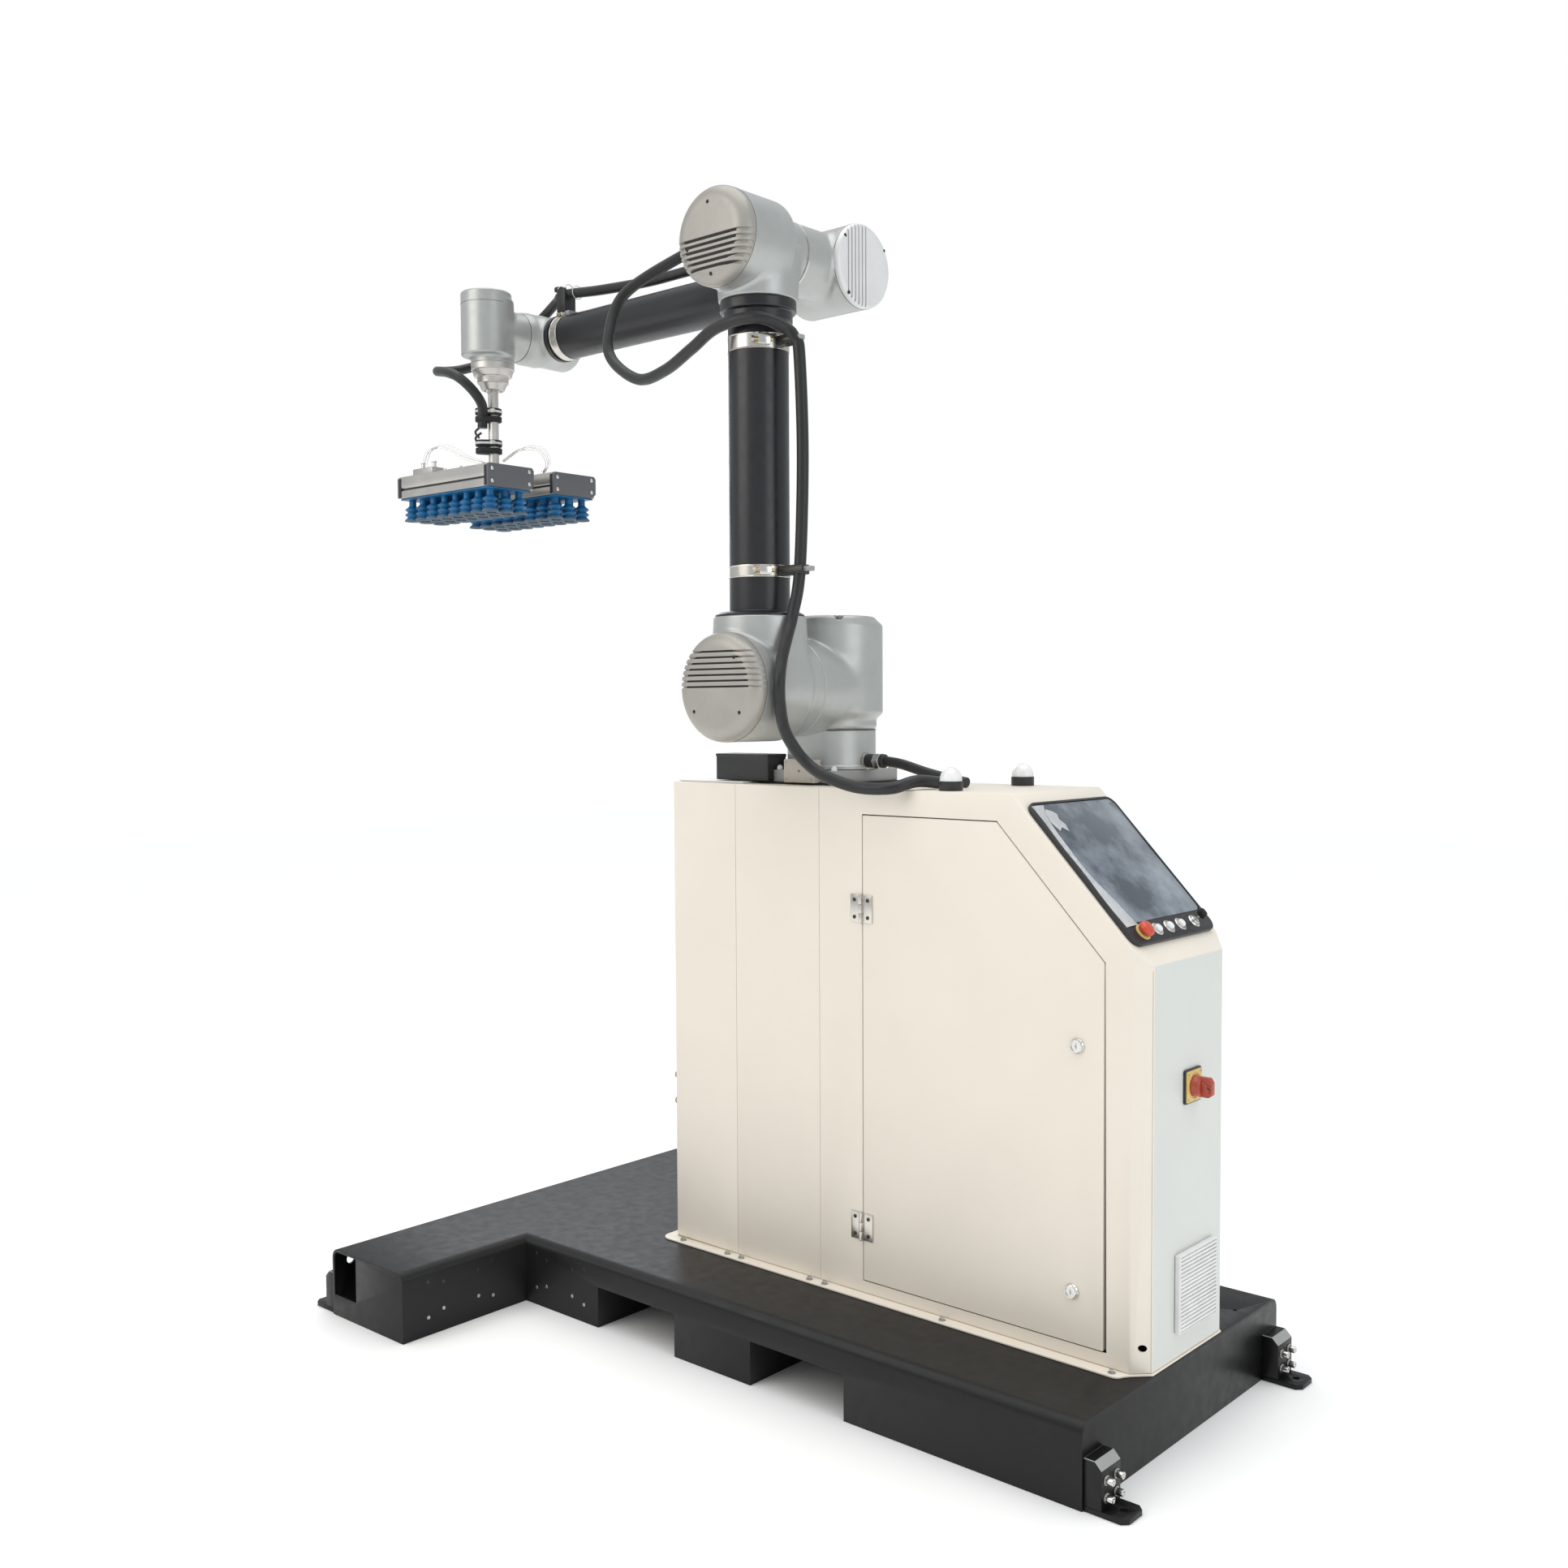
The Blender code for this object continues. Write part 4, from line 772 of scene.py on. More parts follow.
# ---------------------------------------------------------------- steel base
WALL = 0.006


def folded(half, height, radius, centre=0.0, foot=0.0):
    """A cross-section with two round upper corners."""
    right = arc((centre + half - radius, height - radius), radius, 0, 90, 8)
    left = arc((centre - half + radius, height - radius), radius, 90, 180, 8)
    return [(centre - half, foot), (centre + half, foot), *right, *left]


def disc_spots(outer, inner):
    """Where the hole discs sit beside the inner corner: across the wall and up it."""
    return [
        (a, z)
        for pair, heights in ((outer, (0.12, 0.04)), (inner, (0.11, 0.05))) for a in pair for z in heights
    ]


def bolt_hole_disc(spot, out):
    """A flat disc in place of a bolt hole: the dark discs of the upper rows are painted shade inside the hole, the
    lower ones are zinc-coloured.
    """
    disc = rod(spot + out * 0.0001, spot + out * 0.0008, 0.0042, 0.0036, sides=20)
    return disc, DARK_METAL if spot.z > 0.1 else ZINC


def base():
    """The steel base: a long box and a cross leg folded from plate, hollow, with fork pockets."""
    leg_half = (LEG_FRONT - LEG_REAR) / 2
    leg_mid = (LEG_FRONT + LEG_REAR) / 2
    long_box = prism(folded(BASE_HALF, DECK, FOLD_R), LEG_REAR + 0.03, BASE_FRONT, "x")
    leg = prism(folded(leg_half, DECK, FOLD_R, leg_mid), -LEG_HALF, LEG_HALF, "y")
    roof = DECK - WALL
    room = folded(leg_half - WALL, roof, FOLD_R - WALL, leg_mid, -0.1)
    tools = [prism(room, WALL - LEG_HALF, LEG_HALF - WALL, "y")]
    edges = [p for pocket in FORK_POCKETS for p in (pocket[0].x - 0.0016, pocket[1].x + 0.0016)]
    tools += [box((a, -1, -0.1), (b, 1, FORK_TOP)) for a, b in (edges[:2], edges[2:])]
    dots = []
    spans = [
        (LEG_FRONT + WALL, edges[0] - WALL), (edges[1] + WALL, edges[2] - WALL),
        (edges[3] + WALL, BASE_FRONT - WALL),
    ]
    inside = folded(BASE_HALF - WALL, roof, FOLD_R - WALL, 0, -0.1)
    tools += [prism(inside, a, b, "x") for a, b in spans]
    for side in (-1, 1):
        end = side * LEG_HALF
        corner = arc((LEG_REAR + 0.021, roof - 0.0145), 0.0135, 180, 90, 5)
        window = [
            (LEG_REAR + 0.0075, 0.048), *corner, (LEG_REAR + 0.093, roof - 0.001),
            (LEG_REAR + 0.093, 0.048),
        ]
        tools.append(prism(window, end - 0.03, end + 0.03, "y"))
        eye = Vector((LEG_REAR, end - side * 0.045, 0.118))
        tools.append(rod(eye - X * 0.02, eye + X * 0.02, 0.011, sides=32))
        dots += [
            bolt_hole_disc(Vector((LEG_FRONT, side * y, z)), X) for y, z in disc_spots((0.661, 0.483), (0.62, 0.524))
        ]
        walls = disc_spots((0.574, 0.409), (0.539, 0.449))
        dots += [bolt_hole_disc(Vector((-x, side * BASE_HALF, z)), Y * side) for x, z in walls]
    tools.append(rod((0.842, 0.262, DECK - 0.02), (0.842, 0.262, DECK + 0.02), 0.004, sides=20))
    body = cut(join(long_box, leg), *tools)
    shown(
        "steel_base", [(soften(body, 0.0012, 2), BLACK_STEEL), *dots], "station",
        ["base_main", "base_crossbeam"],
    )


def foot(name, side):
    """A floor bracket: a chamfered block on a plate with a bolt hole, and its four screws."""
    a, b = low(name), high(name)
    face = a.x if side > 0 else b.x
    tip = b.x if side > 0 else a.x
    block_face = face + side * 0.035
    y = middle(name).y
    half = (b.y - a.y) / 2
    outline = [
        (face, 0.010), (face, b.z), (block_face - side * 0.014, b.z), (block_face, b.z - 0.014),
        (block_face, 0.010),
    ]
    block = prism(outline if side > 0 else outline[::-1], a.y, b.y, "y", 0.0012)
    cut_in = 0.011
    plate = [
        (face, y - half), (tip - side * cut_in, y - half), (tip, y - half + cut_in),
        (tip, y + half - cut_in), (tip - side * cut_in, y + half), (face, y + half),
    ]
    sole = prism(plate, 0.0, 0.010, "z")
    hole = Vector((face + side * 0.059, y, 0))
    sole = soften(cut(sole, rod(hole - Z * 0.02, hole + Z * 0.03, 0.007, sides=32)), 0.0009)
    # The upward-slanting chamfer faces are coloured grey and the rest of the block black.
    up_slant_faces, coated = split_by(block, lambda f: 0.3 < f.normal.z < 0.95)
    parts = [(up_slant_faces, GREY_STEEL), (coated, BLACK_STEEL), (sole, BLACK_STEEL)]
    for dy in (-0.017, 0.017):
        for z in (0.029, 0.060):
            at = Vector((block_face, y + dy, z))
            out = X * side
            parts.append((rod(at, at + out * 0.002, 0.0088, edge=0.0005, sides=28), ZINC))
            parts.append(socket_screw(at + out * 0.002, out, 0.0066, 0.013))
    shown(name + "_bracket", parts, "station", [name])


base()
for which in ("foot_front_near", "foot_front_far"):
    foot(which, 1)
for which in ("foot_rear_near", "foot_rear_far"):
    foot(which, -1)


# ---------------------------------------------------------------- cabinet
def flange():
    """The sheet lip round the cabinet's foot, with its bolts."""
    r = 0.024
    rear = low("cabinet_foot_flange").x
    half = high("cabinet_foot_flange").y
    end = PILLAR - 0.006
    near = [
        *arc((rear + r, -half + r), r, 180, 270, 7),
        *arc((end - 0.016, -half + 0.016), 0.016, 270, 350, 6),
        (PILLAR + 0.002, -CAB_HALF - 0.002), (CAB_FRONT + 0.002, -CAB_HALF + CHAMFER - 0.001),
    ]
    outline = near + [(x, -y) for x, y in near[::-1]]
    lip = prism(outline, DECK + 0.0004, CAB_FOOT, "z")
    inner = [
        (CAB_REAR + 0.004, -CAB_HALF + 0.004), (PILLAR - 0.002, -CAB_HALF + 0.004),
        (CAB_FRONT - 0.004, -CAB_HALF + CHAMFER), (CAB_FRONT - 0.004, CAB_HALF - CHAMFER),
        (PILLAR - 0.002, CAB_HALF - 0.004), (CAB_REAR + 0.004, CAB_HALF - 0.004),
    ]
    lip = soften(cut(lip, prism(inner, 0.1, 0.2, "z")), 0.0011, 2)
    parts = [(lip, IVORY)]
    for x in (
        -0.300, SEAMS_X[0] - 0.020, SEAMS_X[0] + 0.022, SEAMS_X[1] - 0.020, SEAMS_X[1] + 0.022, 0.430,
        0.812,
    ):
        for side in (-1, 1):
            parts += hex_bolt((x, side * (CAB_HALF + 0.014), CAB_FOOT), Z, 0.0055, 0.006)
    for y in (-0.100, 0.100):
        parts += hex_bolt((CAB_REAR - 0.014, y, CAB_FOOT), Z, 0.0055, 0.006)
    shown("cabinet_lip", parts, "station", ["cabinet_foot_flange"])


DOOR_LOW = low("door")
DOOR_HIGH = high("door")
DOOR_CUT = (0.549, 0.910)
DOOR_FACE = DOOR_LOW.y + 0.0045
SHEET = 0.003


def door_outline(grow, widen=0.0):
    """The door's outline in (x, z). grow moves it out, and widen moves the foot of its free edge."""
    x0, x1 = DOOR_LOW.x - grow, DOOR_HIGH.x + grow
    z0, z1 = DOOR_LOW.z - grow, DOOR_HIGH.z + grow
    slant = grow * 0.42
    return [(x0, z0), (x1 + widen, z0), (x1, DOOR_CUT[1] + slant), (DOOR_CUT[0] + slant, z1), (x0, z1)]


def on_slope(distance, y, height):
    return SLOPE_TOP + SLOPE_DOWN * distance + Y * y + SLOPE_OUT * height


def cabinet_skin():
    """The cabinet's sheet steel: one folded skin with seams, openings and soft edges."""
    foot_z = CAB_FOOT + 0.0003
    side = [
        (CAB_REAR, foot_z), (CAB_FRONT, foot_z), (CAB_FRONT, SLOPE_FOOT.z), (SLOPE_TOP.x, CAB_TOP),
        (CAB_REAR, CAB_TOP),
    ]
    solid = prism(side, -CAB_HALF, CAB_HALF, "y")
    corners = []
    for s in (-1, 1):
        tri = [
            (PILLAR, s * CAB_HALF), (CAB_FRONT + 0.03, s * (CAB_HALF - CHAMFER - 0.03)),
            (CAB_FRONT + 0.03, s * (CAB_HALF + 0.03)), (PILLAR, s * (CAB_HALF + 0.03)),
        ]
        corners.append(prism(tri, 0, 2, "z"))
    solid = soften(cut(solid, *corners), 0.0030, 3, 20)
    hollow = [
        (CAB_REAR + SHEET, 0), (CAB_FRONT - SHEET, 0), (CAB_FRONT - SHEET, SLOPE_FOOT.z - SHEET),
        (SLOPE_TOP.x - 0.002, CAB_TOP - SHEET), (CAB_REAR + SHEET, CAB_TOP - SHEET),
    ]
    inner_corners = [moved(corner, Matrix.Translation((-0.0045, 0, 0))) for corner in corners]
    room = cut(prism(hollow, SHEET - CAB_HALF, CAB_HALF - SHEET, "y"), *inner_corners)
    tools = [room, prism(door_outline(0.0022, 0.0050), -1, 0, "y")]
    vent_low, vent_high = low("vent_grille"), high("vent_grille")
    tools.append(
        box(
            (CAB_FRONT - 0.02, vent_low.y + 0.012, vent_low.z + 0.012),
            (CAB_FRONT + 0.02, vent_high.y - 0.012, vent_high.z - 0.012),
        )
    )
    switch = middle("main_switch_plate")
    tools.append(rod(switch - X * 0.03, switch + X * 0.03, 0.012, sides=32))
    tools.append(box((-0.075, -0.075, CAB_TOP - 0.1), (0.075, 0.075, CAB_TOP + 0.1)))
    for s in (-1, 1):
        for x in SEAMS_X:
            tools.append(
                box(
                    (x - 0.0007, s * CAB_HALF - 0.0014, 0.1),
                    (x + 0.0007, s * CAB_HALF + 0.0014, CAB_TOP + 0.01),
                )
            )
        y = s * (CAB_HALF - CHAMFER + 0.0018)
        tools.append(
            box(
                (CAB_FRONT - 0.0045, y - 0.0006, 0.1),
                (CAB_FRONT + 0.0045, y + 0.0006, SLOPE_FOOT.z - 0.010),
            )
        )
    tools.append(rod((0.857, -0.19, 0.206), (0.857, -0.12, 0.206), 0.0068, sides=32))
    body = sharpened(cut(solid, *tools))
    # The outward face of the operator's end takes the cooler, greyer copy of the ivory: painted cool light on that
    # side.
    cool_lit_faces, warm = split_by(
        body, lambda f: f.normal.x > 0.97 and f.calc_center_median().x > CAB_FRONT - 0.002,
    )
    nodes = [
        "door_side_panel", "far_side_panel", "operator_end_panel", "rear_end_panel", "cabinet_top_panel",
    ]
    shown("cabinet_skin", [(warm, IVORY), (cool_lit_faces, COOL_LIT_END_WHITE)], "station", nodes)


def door():
    """The door's folded sheet."""
    sheet = prism(door_outline(0), DOOR_FACE, DOOR_FACE + 0.016, "y")
    sheet = soften(sheet, 0.0022, 3)
    room = prism(door_outline(-0.002), DOOR_FACE + 0.002, 1, "y")
    spots = [middle(name) - Z * 0.015 for name in ("upper_lock", "lower_lock")]
    holes = [rod((spot.x, -0.3, spot.z), (spot.x, 0, spot.z), 0.010, sides=32) for spot in spots]
    swing = box((DOOR_LOW.x - 0.02, -CAB_HALF + 0.0035, 0), (DOOR_LOW.x + 0.010, 0, 2))
    sheet = sharpened(cut(sheet, room, swing, *holes))
    shown("door_sheet", [(sheet, IVORY)], "cabinet_door", ["door"])


def hinge(name):
    """A stainless butt hinge: two leaves, three knuckles, a pin and countersunk screws."""
    z = middle(name).z
    x = JOINT["door_hinge"].x
    y = JOINT["door_hinge"].y
    face = -CAB_HALF - 0.0003
    for body, s, title in (("station", -1, name + "_fixed"), ("cabinet_door", 1, name + "_leaf")):
        lift = -0.0015 if s > 0 else 0
        a, b = sorted((x + s * 0.0015, x + s * 0.029))
        leaf = box((a, face + lift - 0.0024, z - 0.029), (b, face + lift, z + 0.029), 0.0008)
        parts = [(leaf, STAINLESS)]
        spans = ((-0.029, -0.010), (0.010, 0.029)) if s < 0 else ((-0.0095, 0.0095),)
        for p, q in spans:
            parts.append((rod((x, y, z + p), (x, y, z + q), 0.0044, edge=0.0006, sides=24), STAINLESS))
        if s < 0:
            for end in (-1, 1):
                parts.append((
                    rod((x, y, z + end * 0.029), (x, y, z + end * 0.0305), 0.003, edge=0.0008, sides=20),
                    POLISHED,
                ))
        for dz in (-0.018, 0.018):
            at = Vector((x + s * 0.018, face + lift - 0.0024, z + dz))
            parts.append((button_screw(at, -Y, 0.0042)[0], DARK_METAL))
        shown(title, parts, body, [name] if s < 0 else ())


def lock(name):
    """A cam lock: a turned bezel, a recessed core with a wing slot, and the cam behind."""
    x = middle(name).x
    z = JOINT[name + "_turn"].z
    face = DOOR_FACE
    at = Vector((x, face - 0.0003, z))
    bezel = lathe(
        [
            (0.0095, -0.030), (0.0095, 0), (0.0150, 0), (0.0150, 0.0018), (0.0142, 0.0030), (0.0128, 0.0062),
            (0.0120, 0.0068), (0.0106, 0.0068), (0.0102, 0.0050), (0.0100, 0.0050), (0, 0.0052),
        ],
        at, -Y, 48, 25,
    )
    slot = box((x - 0.0011, face - 0.02, z - 0.0055), (x + 0.0011, face - 0.0028, z + 0.0055))
    eye = rod((x, face - 0.02, z), (x, face - 0.0028, z), 0.0026, sides=24)
    core = sharpened(cut(bezel, slot, eye), 25)
    cam = box((x - 0.008, face + 0.0255, z - 0.012), (x + 0.008, face + 0.0285, z + 0.045), 0.001)
    shown(name + "_turned", [(core, POLISHED), (cam, ZINC)], name + "_body", [name])


def vent():
    """The filter fan's grille with its slanting louvres."""
    a, b = low("vent_grille"), high("vent_grille")
    rim = soften(box(a, b), 0.0035, 3)
    inside = box((a.x - 0.01, a.y + 0.004, a.z + 0.004), (b.x + 0.02, b.y - 0.004, b.z - 0.004))
    rim = sharpened(cut(rim, inside))
    parts = [(rim, WHITE_PLASTIC)]
    count = 19
    pitch = (b.z - a.z - 0.009) / count
    for i in range(count):
        z = a.z + 0.0045 + pitch * (i + 0.5)
        slat = [
            (a.x + 0.002, z + 0.0036), (b.x + 0.0006, z + 0.0014), (b.x + 0.0006, z - 0.0030),
            (a.x + 0.002, z - 0.0018),
        ]
        parts.append((prism(slat, a.y + 0.0035, b.y - 0.0035, "y", 0.0008), WHITE_PLASTIC))
    back = box((a.x + 0.0008, a.y + 0.003, a.z + 0.003), (a.x + 0.0018, b.y - 0.003, b.z - 0.003), 0.0002)
    parts.append((back, GREY_STEEL))
    shown("vent_louvres", parts, "station", ["vent_grille"])


def main_switch():
    """The main switch: a black frame, a yellow plate and a turning handle."""
    a, b = low("main_switch_plate"), high("main_switch_plate")
    mid = middle("main_switch_plate")
    half = (b.y - a.y) / 2
    frame_mesh = prism(rounded_outline(half, half, 0.005, 5, (mid.y, mid.z)), a.x, a.x + 0.0045, "x", 0.001)
    plate = prism(
        rounded_outline(half - 0.003, half - 0.003, 0.004, 5, (mid.y, mid.z)), a.x + 0.004, b.x, "x",
        0.0008,
    )
    ringed = ring((b.x, mid.y, mid.z), X, 0.0245, 0.0012)
    parts = [(frame_mesh, BLACK_PLASTIC), (plate, YELLOW), (ringed, YELLOW)]
    for dy in (-1, 1):
        for dz in (-1, 1):
            at = Vector((b.x, mid.y + dy * (half - 0.008), mid.z + dz * (half - 0.008)))
            parts.append(button_screw(at, X, 0.0026))
    shown("main_switch_body", parts, "station", ["main_switch_plate"])
    start = low("main_switch_handle").x
    hub = lathe(
        [(0.0205, 0), (0.0205, 0.004), (0.0190, 0.007), (0.0180, 0.0150), (0.0160, 0.0165), (0, 0.0165)],
        (start, mid.y, mid.z), X, 48,
    )
    end = high("main_switch_handle").x
    grip = [
        (start + 0.008, mid.z - 0.019), (start + 0.030, mid.z - 0.019), (end, mid.z - 0.013),
        (end, mid.z + 0.010), (start + 0.032, mid.z + 0.019), (start + 0.008, mid.z + 0.019),
    ]
    grip_mesh = prism(grip, mid.y - 0.0062, mid.y + 0.0062, "y", 0.002, 3)
    eye = rod((start + 0.031, mid.y - 0.02, mid.z), (start + 0.031, mid.y + 0.02, mid.z), 0.0035, sides=24)
    shown(
        "main_switch_knob", [(hub, RUST_RED), (cut(grip_mesh, eye), RUST_RED)], "main_switch",
        ["main_switch_handle"],
    )


def slope_place(distance, y, height):
    """The matrix of a shape drawn with x down the console, y across it and z out of it."""
    turn = Matrix((SLOPE_DOWN, Y, SLOPE_OUT)).transposed().to_4x4()
    return Matrix.Translation(on_slope(distance, y, height)) @ turn


HMI_NEAR, HMI_FAR, HMI_HALF = 0.031, 0.376, 0.157
HMI_MID = (HMI_NEAR + HMI_FAR) / 2
HMI_LONG = (HMI_FAR - HMI_NEAR) / 2
SCREEN_END = HMI_FAR - 0.046
BUTTON_LINE = HMI_FAR - 0.024
ESTOP_Y = -0.110
PUSH_BUTTONS = {"start": -0.055, "stop": -0.010, "reset": 0.035}
KEY_Y = 0.090


def console():
    """The operator's panel: a black frame with its button strip, and the screen under its film."""
    here = slope_place(HMI_MID, 0, 0)
    back = prism(rounded_outline(HMI_LONG, HMI_HALF, 0.024, 8), 0.0003, 0.0098, "z")
    back = soften(back, 0.0022, 3)
    top_edge = HMI_NEAR + 0.006
    window_mid = (top_edge + SCREEN_END) / 2
    window = rounded_outline((SCREEN_END - top_edge) / 2, HMI_HALF - 0.006, 0.016, 6)
    window = [(x + window_mid - HMI_MID, y) for x, y in window]
    well = prism(window, 0.0055, 0.03, "z")
    drill = rod((0, 0, 0.0026), (0, 0, 0.03), 0.0088, sides=32)
    spots = (ESTOP_Y, *PUSH_BUTTONS.values(), KEY_Y)
    holes = [moved(drill, Matrix.Translation((BUTTON_LINE - HMI_MID, y, 0))) for y in spots]
    back = sharpened(cut(back, well, *holes))
    shown("console_frame", [(moved(back, here), BLACK_PLASTIC)], "station", ["hmi_frame"])
    glass = [(x * 0.990, y * 0.990) for x, y in window]
    pane = prism(glass, 0.0058, 0.0092, "z", 0.0006)
    shown("console_screen", [(moved(pane, here), SCREEN)], "station", ["hmi_screen"])


def film_strip():
    """Loose film that has peeled from the screen: a curled strip along one edge and a torn patch."""
    parts = []
    work = bmesh.new()
    rows = []
    for i, u in enumerate(np.linspace(0, 1, 40)):
        along = HMI_NEAR + 0.010 + u * (SCREEN_END - HMI_NEAR - 0.004)
        width = 0.034 * (1 - u) ** 7 + 0.007 + 0.014 * u + 0.026 * u**4 + 0.0012 * math.sin(9 * u)
        row = []
        for v in np.linspace(0, 1, 7):
            y = -HMI_HALF + 0.007 + width * v
            lift = 0.0100 + 0.0035 * (u**3) * math.sin(math.pi * v) + 0.0008 * math.sin(14 * u + 3 * v)
            row.append(work.verts.new(on_slope(along, y, lift)))
        rows.append(row)
    for a, b in zip(rows, rows[1:]):
        for k in range(6):
            work.faces.new((a[k], a[k + 1], b[k + 1], b[k]))
    parts.append(work)
    work = bmesh.new()
    rim = [
        (0.020, -0.112), (0.030, -0.124), (0.052, -0.128), (0.075, -0.120), (0.066, -0.104),
        (0.078, -0.092), (0.060, -0.084), (0.046, -0.094), (0.034, -0.086), (0.026, -0.098),
    ]
    hub = work.verts.new(on_slope(HMI_NEAR + 0.050, -0.106, 0.0108))
    ends = [
        work.verts.new(on_slope(HMI_NEAR + x, y, 0.0100 + 0.0007 * (i % 2))) for i, (x, y) in enumerate(rim)
    ]
    for i in range(len(ends)):
        work.faces.new((hub, ends[i], ends[(i + 1) % len(ends)]))
    parts.append(work)
    solid = []
    for work in parts:
        faces = work.faces[:]
        bmesh.ops.solidify(work, geom=faces, thickness=0.0004)
        solid.append((mesh_from(work, 60), PEELED))
    shown("peeled_film", solid, "station", ())


def on_console(profile, place, sides=40, angle=40):
    """A turned shape that stands on the console."""
    return moved(lathe(profile, (0, 0, 0), Z, sides, angle), place)


def bezel_profile(bore):
    return [(bore, 0.0098), (0.0140, 0.0098), (0.0140, 0.0112), (0.0122, 0.0128), (bore, 0.0128)]


def buttons():
    """The emergency stop, three lit buttons and the key switch with its key."""
    here = slope_place(BUTTON_LINE, ESTOP_Y, 0)
    stop = on_console(
        [
            (0.0070, 0.0085), (0.0072, 0.0160), (0.0150, 0.0172), (0.0160, 0.0195), (0.0158, 0.0240),
            (0.0135, 0.0278), (0.0085, 0.0296), (0, 0.0300),
        ],
        here, 56,
    )
    collar = [(0.0100, 0.0100), (0.0168, 0.0100), (0.0168, 0.0118), (0.0150, 0.0130), (0.0100, 0.0130)]
    shown("emergency_stop", [(stop, RED_PLASTIC)], "estop", ["estop_button"])
    rings = [(on_console(collar, here, 56), YELLOW)]
    cap = [
        (0.0072, 0.0075), (0.0072, 0.0110), (0.0080, 0.0120), (0.0082, 0.0160), (0.0070, 0.0176),
        (0, 0.0182),
    ]
    for name, y in PUSH_BUTTONS.items():
        here = slope_place(BUTTON_LINE, y, 0)
        shown(name + "_cap", [(on_console(cap, here), LENS)], name, [name + "_button"])
        rings.append((on_console(bezel_profile(0.0095), here), ALUMINIUM))
    here = slope_place(BUTTON_LINE, KEY_Y, 0)
    rings.append((on_console(bezel_profile(0.0092), here), POLISHED))
    shown("button_bezels", rings, "station", ())
    barrel = on_console([(0.0085, 0.0040), (0.0085, 0.0150), (0.0076, 0.0160), (0, 0.0160)], here, 40, 30)
    blade = box((-0.0012, -0.0030, 0.0155), (0.0012, 0.0030, 0.026), 0.0004)
    bow = prism(rounded_outline(0.0095, 0.0085, 0.006, 5), -0.0012, 0.0012, "z", 0.0005)
    bow = moved(bow, Matrix.Translation((0, 0, 0.034)) @ Matrix.Rotation(math.radians(90), 4, "X"))
    parts = [(barrel, POLISHED), (moved(blade, here), ZINC), (moved(bow, here), DARK_METAL)]
    shown("console_key", parts, "key", ["key_switch"])


def beacon(name):
    """A signal lamp: a black foot with a milk-white dome."""
    at = Vector((middle(name).x, middle(name).y, low(name).z))
    base_ring = lathe(
        [(0.0235, 0), (0.0240, 0.0010), (0.0240, 0.0175), (0.0228, 0.0190), (0.0150, 0.0190)], at, Z, 56,
        30,
    )
    dome = [
        (0.0225 * math.cos(t), 0.0205 + 0.0262 * math.sin(t)) for t in np.radians(np.linspace(0, 90, 12))
    ]
    dome[-1] = (0, dome[-1][1])
    lens = lathe([(0.0225, 0.0185), *dome], at, Z, 56, 60)
    shown(name + "_lamp", [(base_ring, BLACK_PLASTIC), (lens, LENS)], "station", [name])


def side_fittings():
    """Two brass bulkhead fittings on the rear end."""
    parts = []
    for z in (0.530, 0.470):
        at = Vector((CAB_REAR - 0.0003, -0.142, z))
        parts.append((lathe([(0.0100, 0), (0.0100, 0.006)], at, -X, 6, 20), BRASS))
        parts.append((
            lathe(
                [
                    (0.0062, 0.006), (0.0062, 0.012), (0.0078, 0.013), (0.0078, 0.0185), (0.0050, 0.0195),
                    (0.0050, 0.010),
                ],
                at, -X, 32, 30,
            ),
            BRASS,
        ))
    shown("air_fittings", parts, "station", ())


def insides():
    """Better finishes for the CAD nodes inside the cabinet."""
    looks = {
        "pedestal_column": BLACK_STEEL, "mounting_plate": ZINC, "robot_controller": BLACK_PLASTIC,
        "fan_rotor": BLACK_PLASTIC, "j2_drive": DARK_METAL, "j3_drive": DARK_METAL,
    }
    for name, material in looks.items():
        node = frame["nodes"][name]
        for socket in node.material_slots:
            socket.material = material


flange()
cabinet_skin()
door()
hinge("upper_hinge")
hinge("lower_hinge")
lock("upper_lock")
lock("lower_lock")
vent()
main_switch()
console()
film_strip()
buttons()
beacon("beacon_near")
beacon("beacon_far")
side_fittings()
insides()


# ---------------------------------------------------------------- the arm's foot
PLATE_TOP = 1.2447


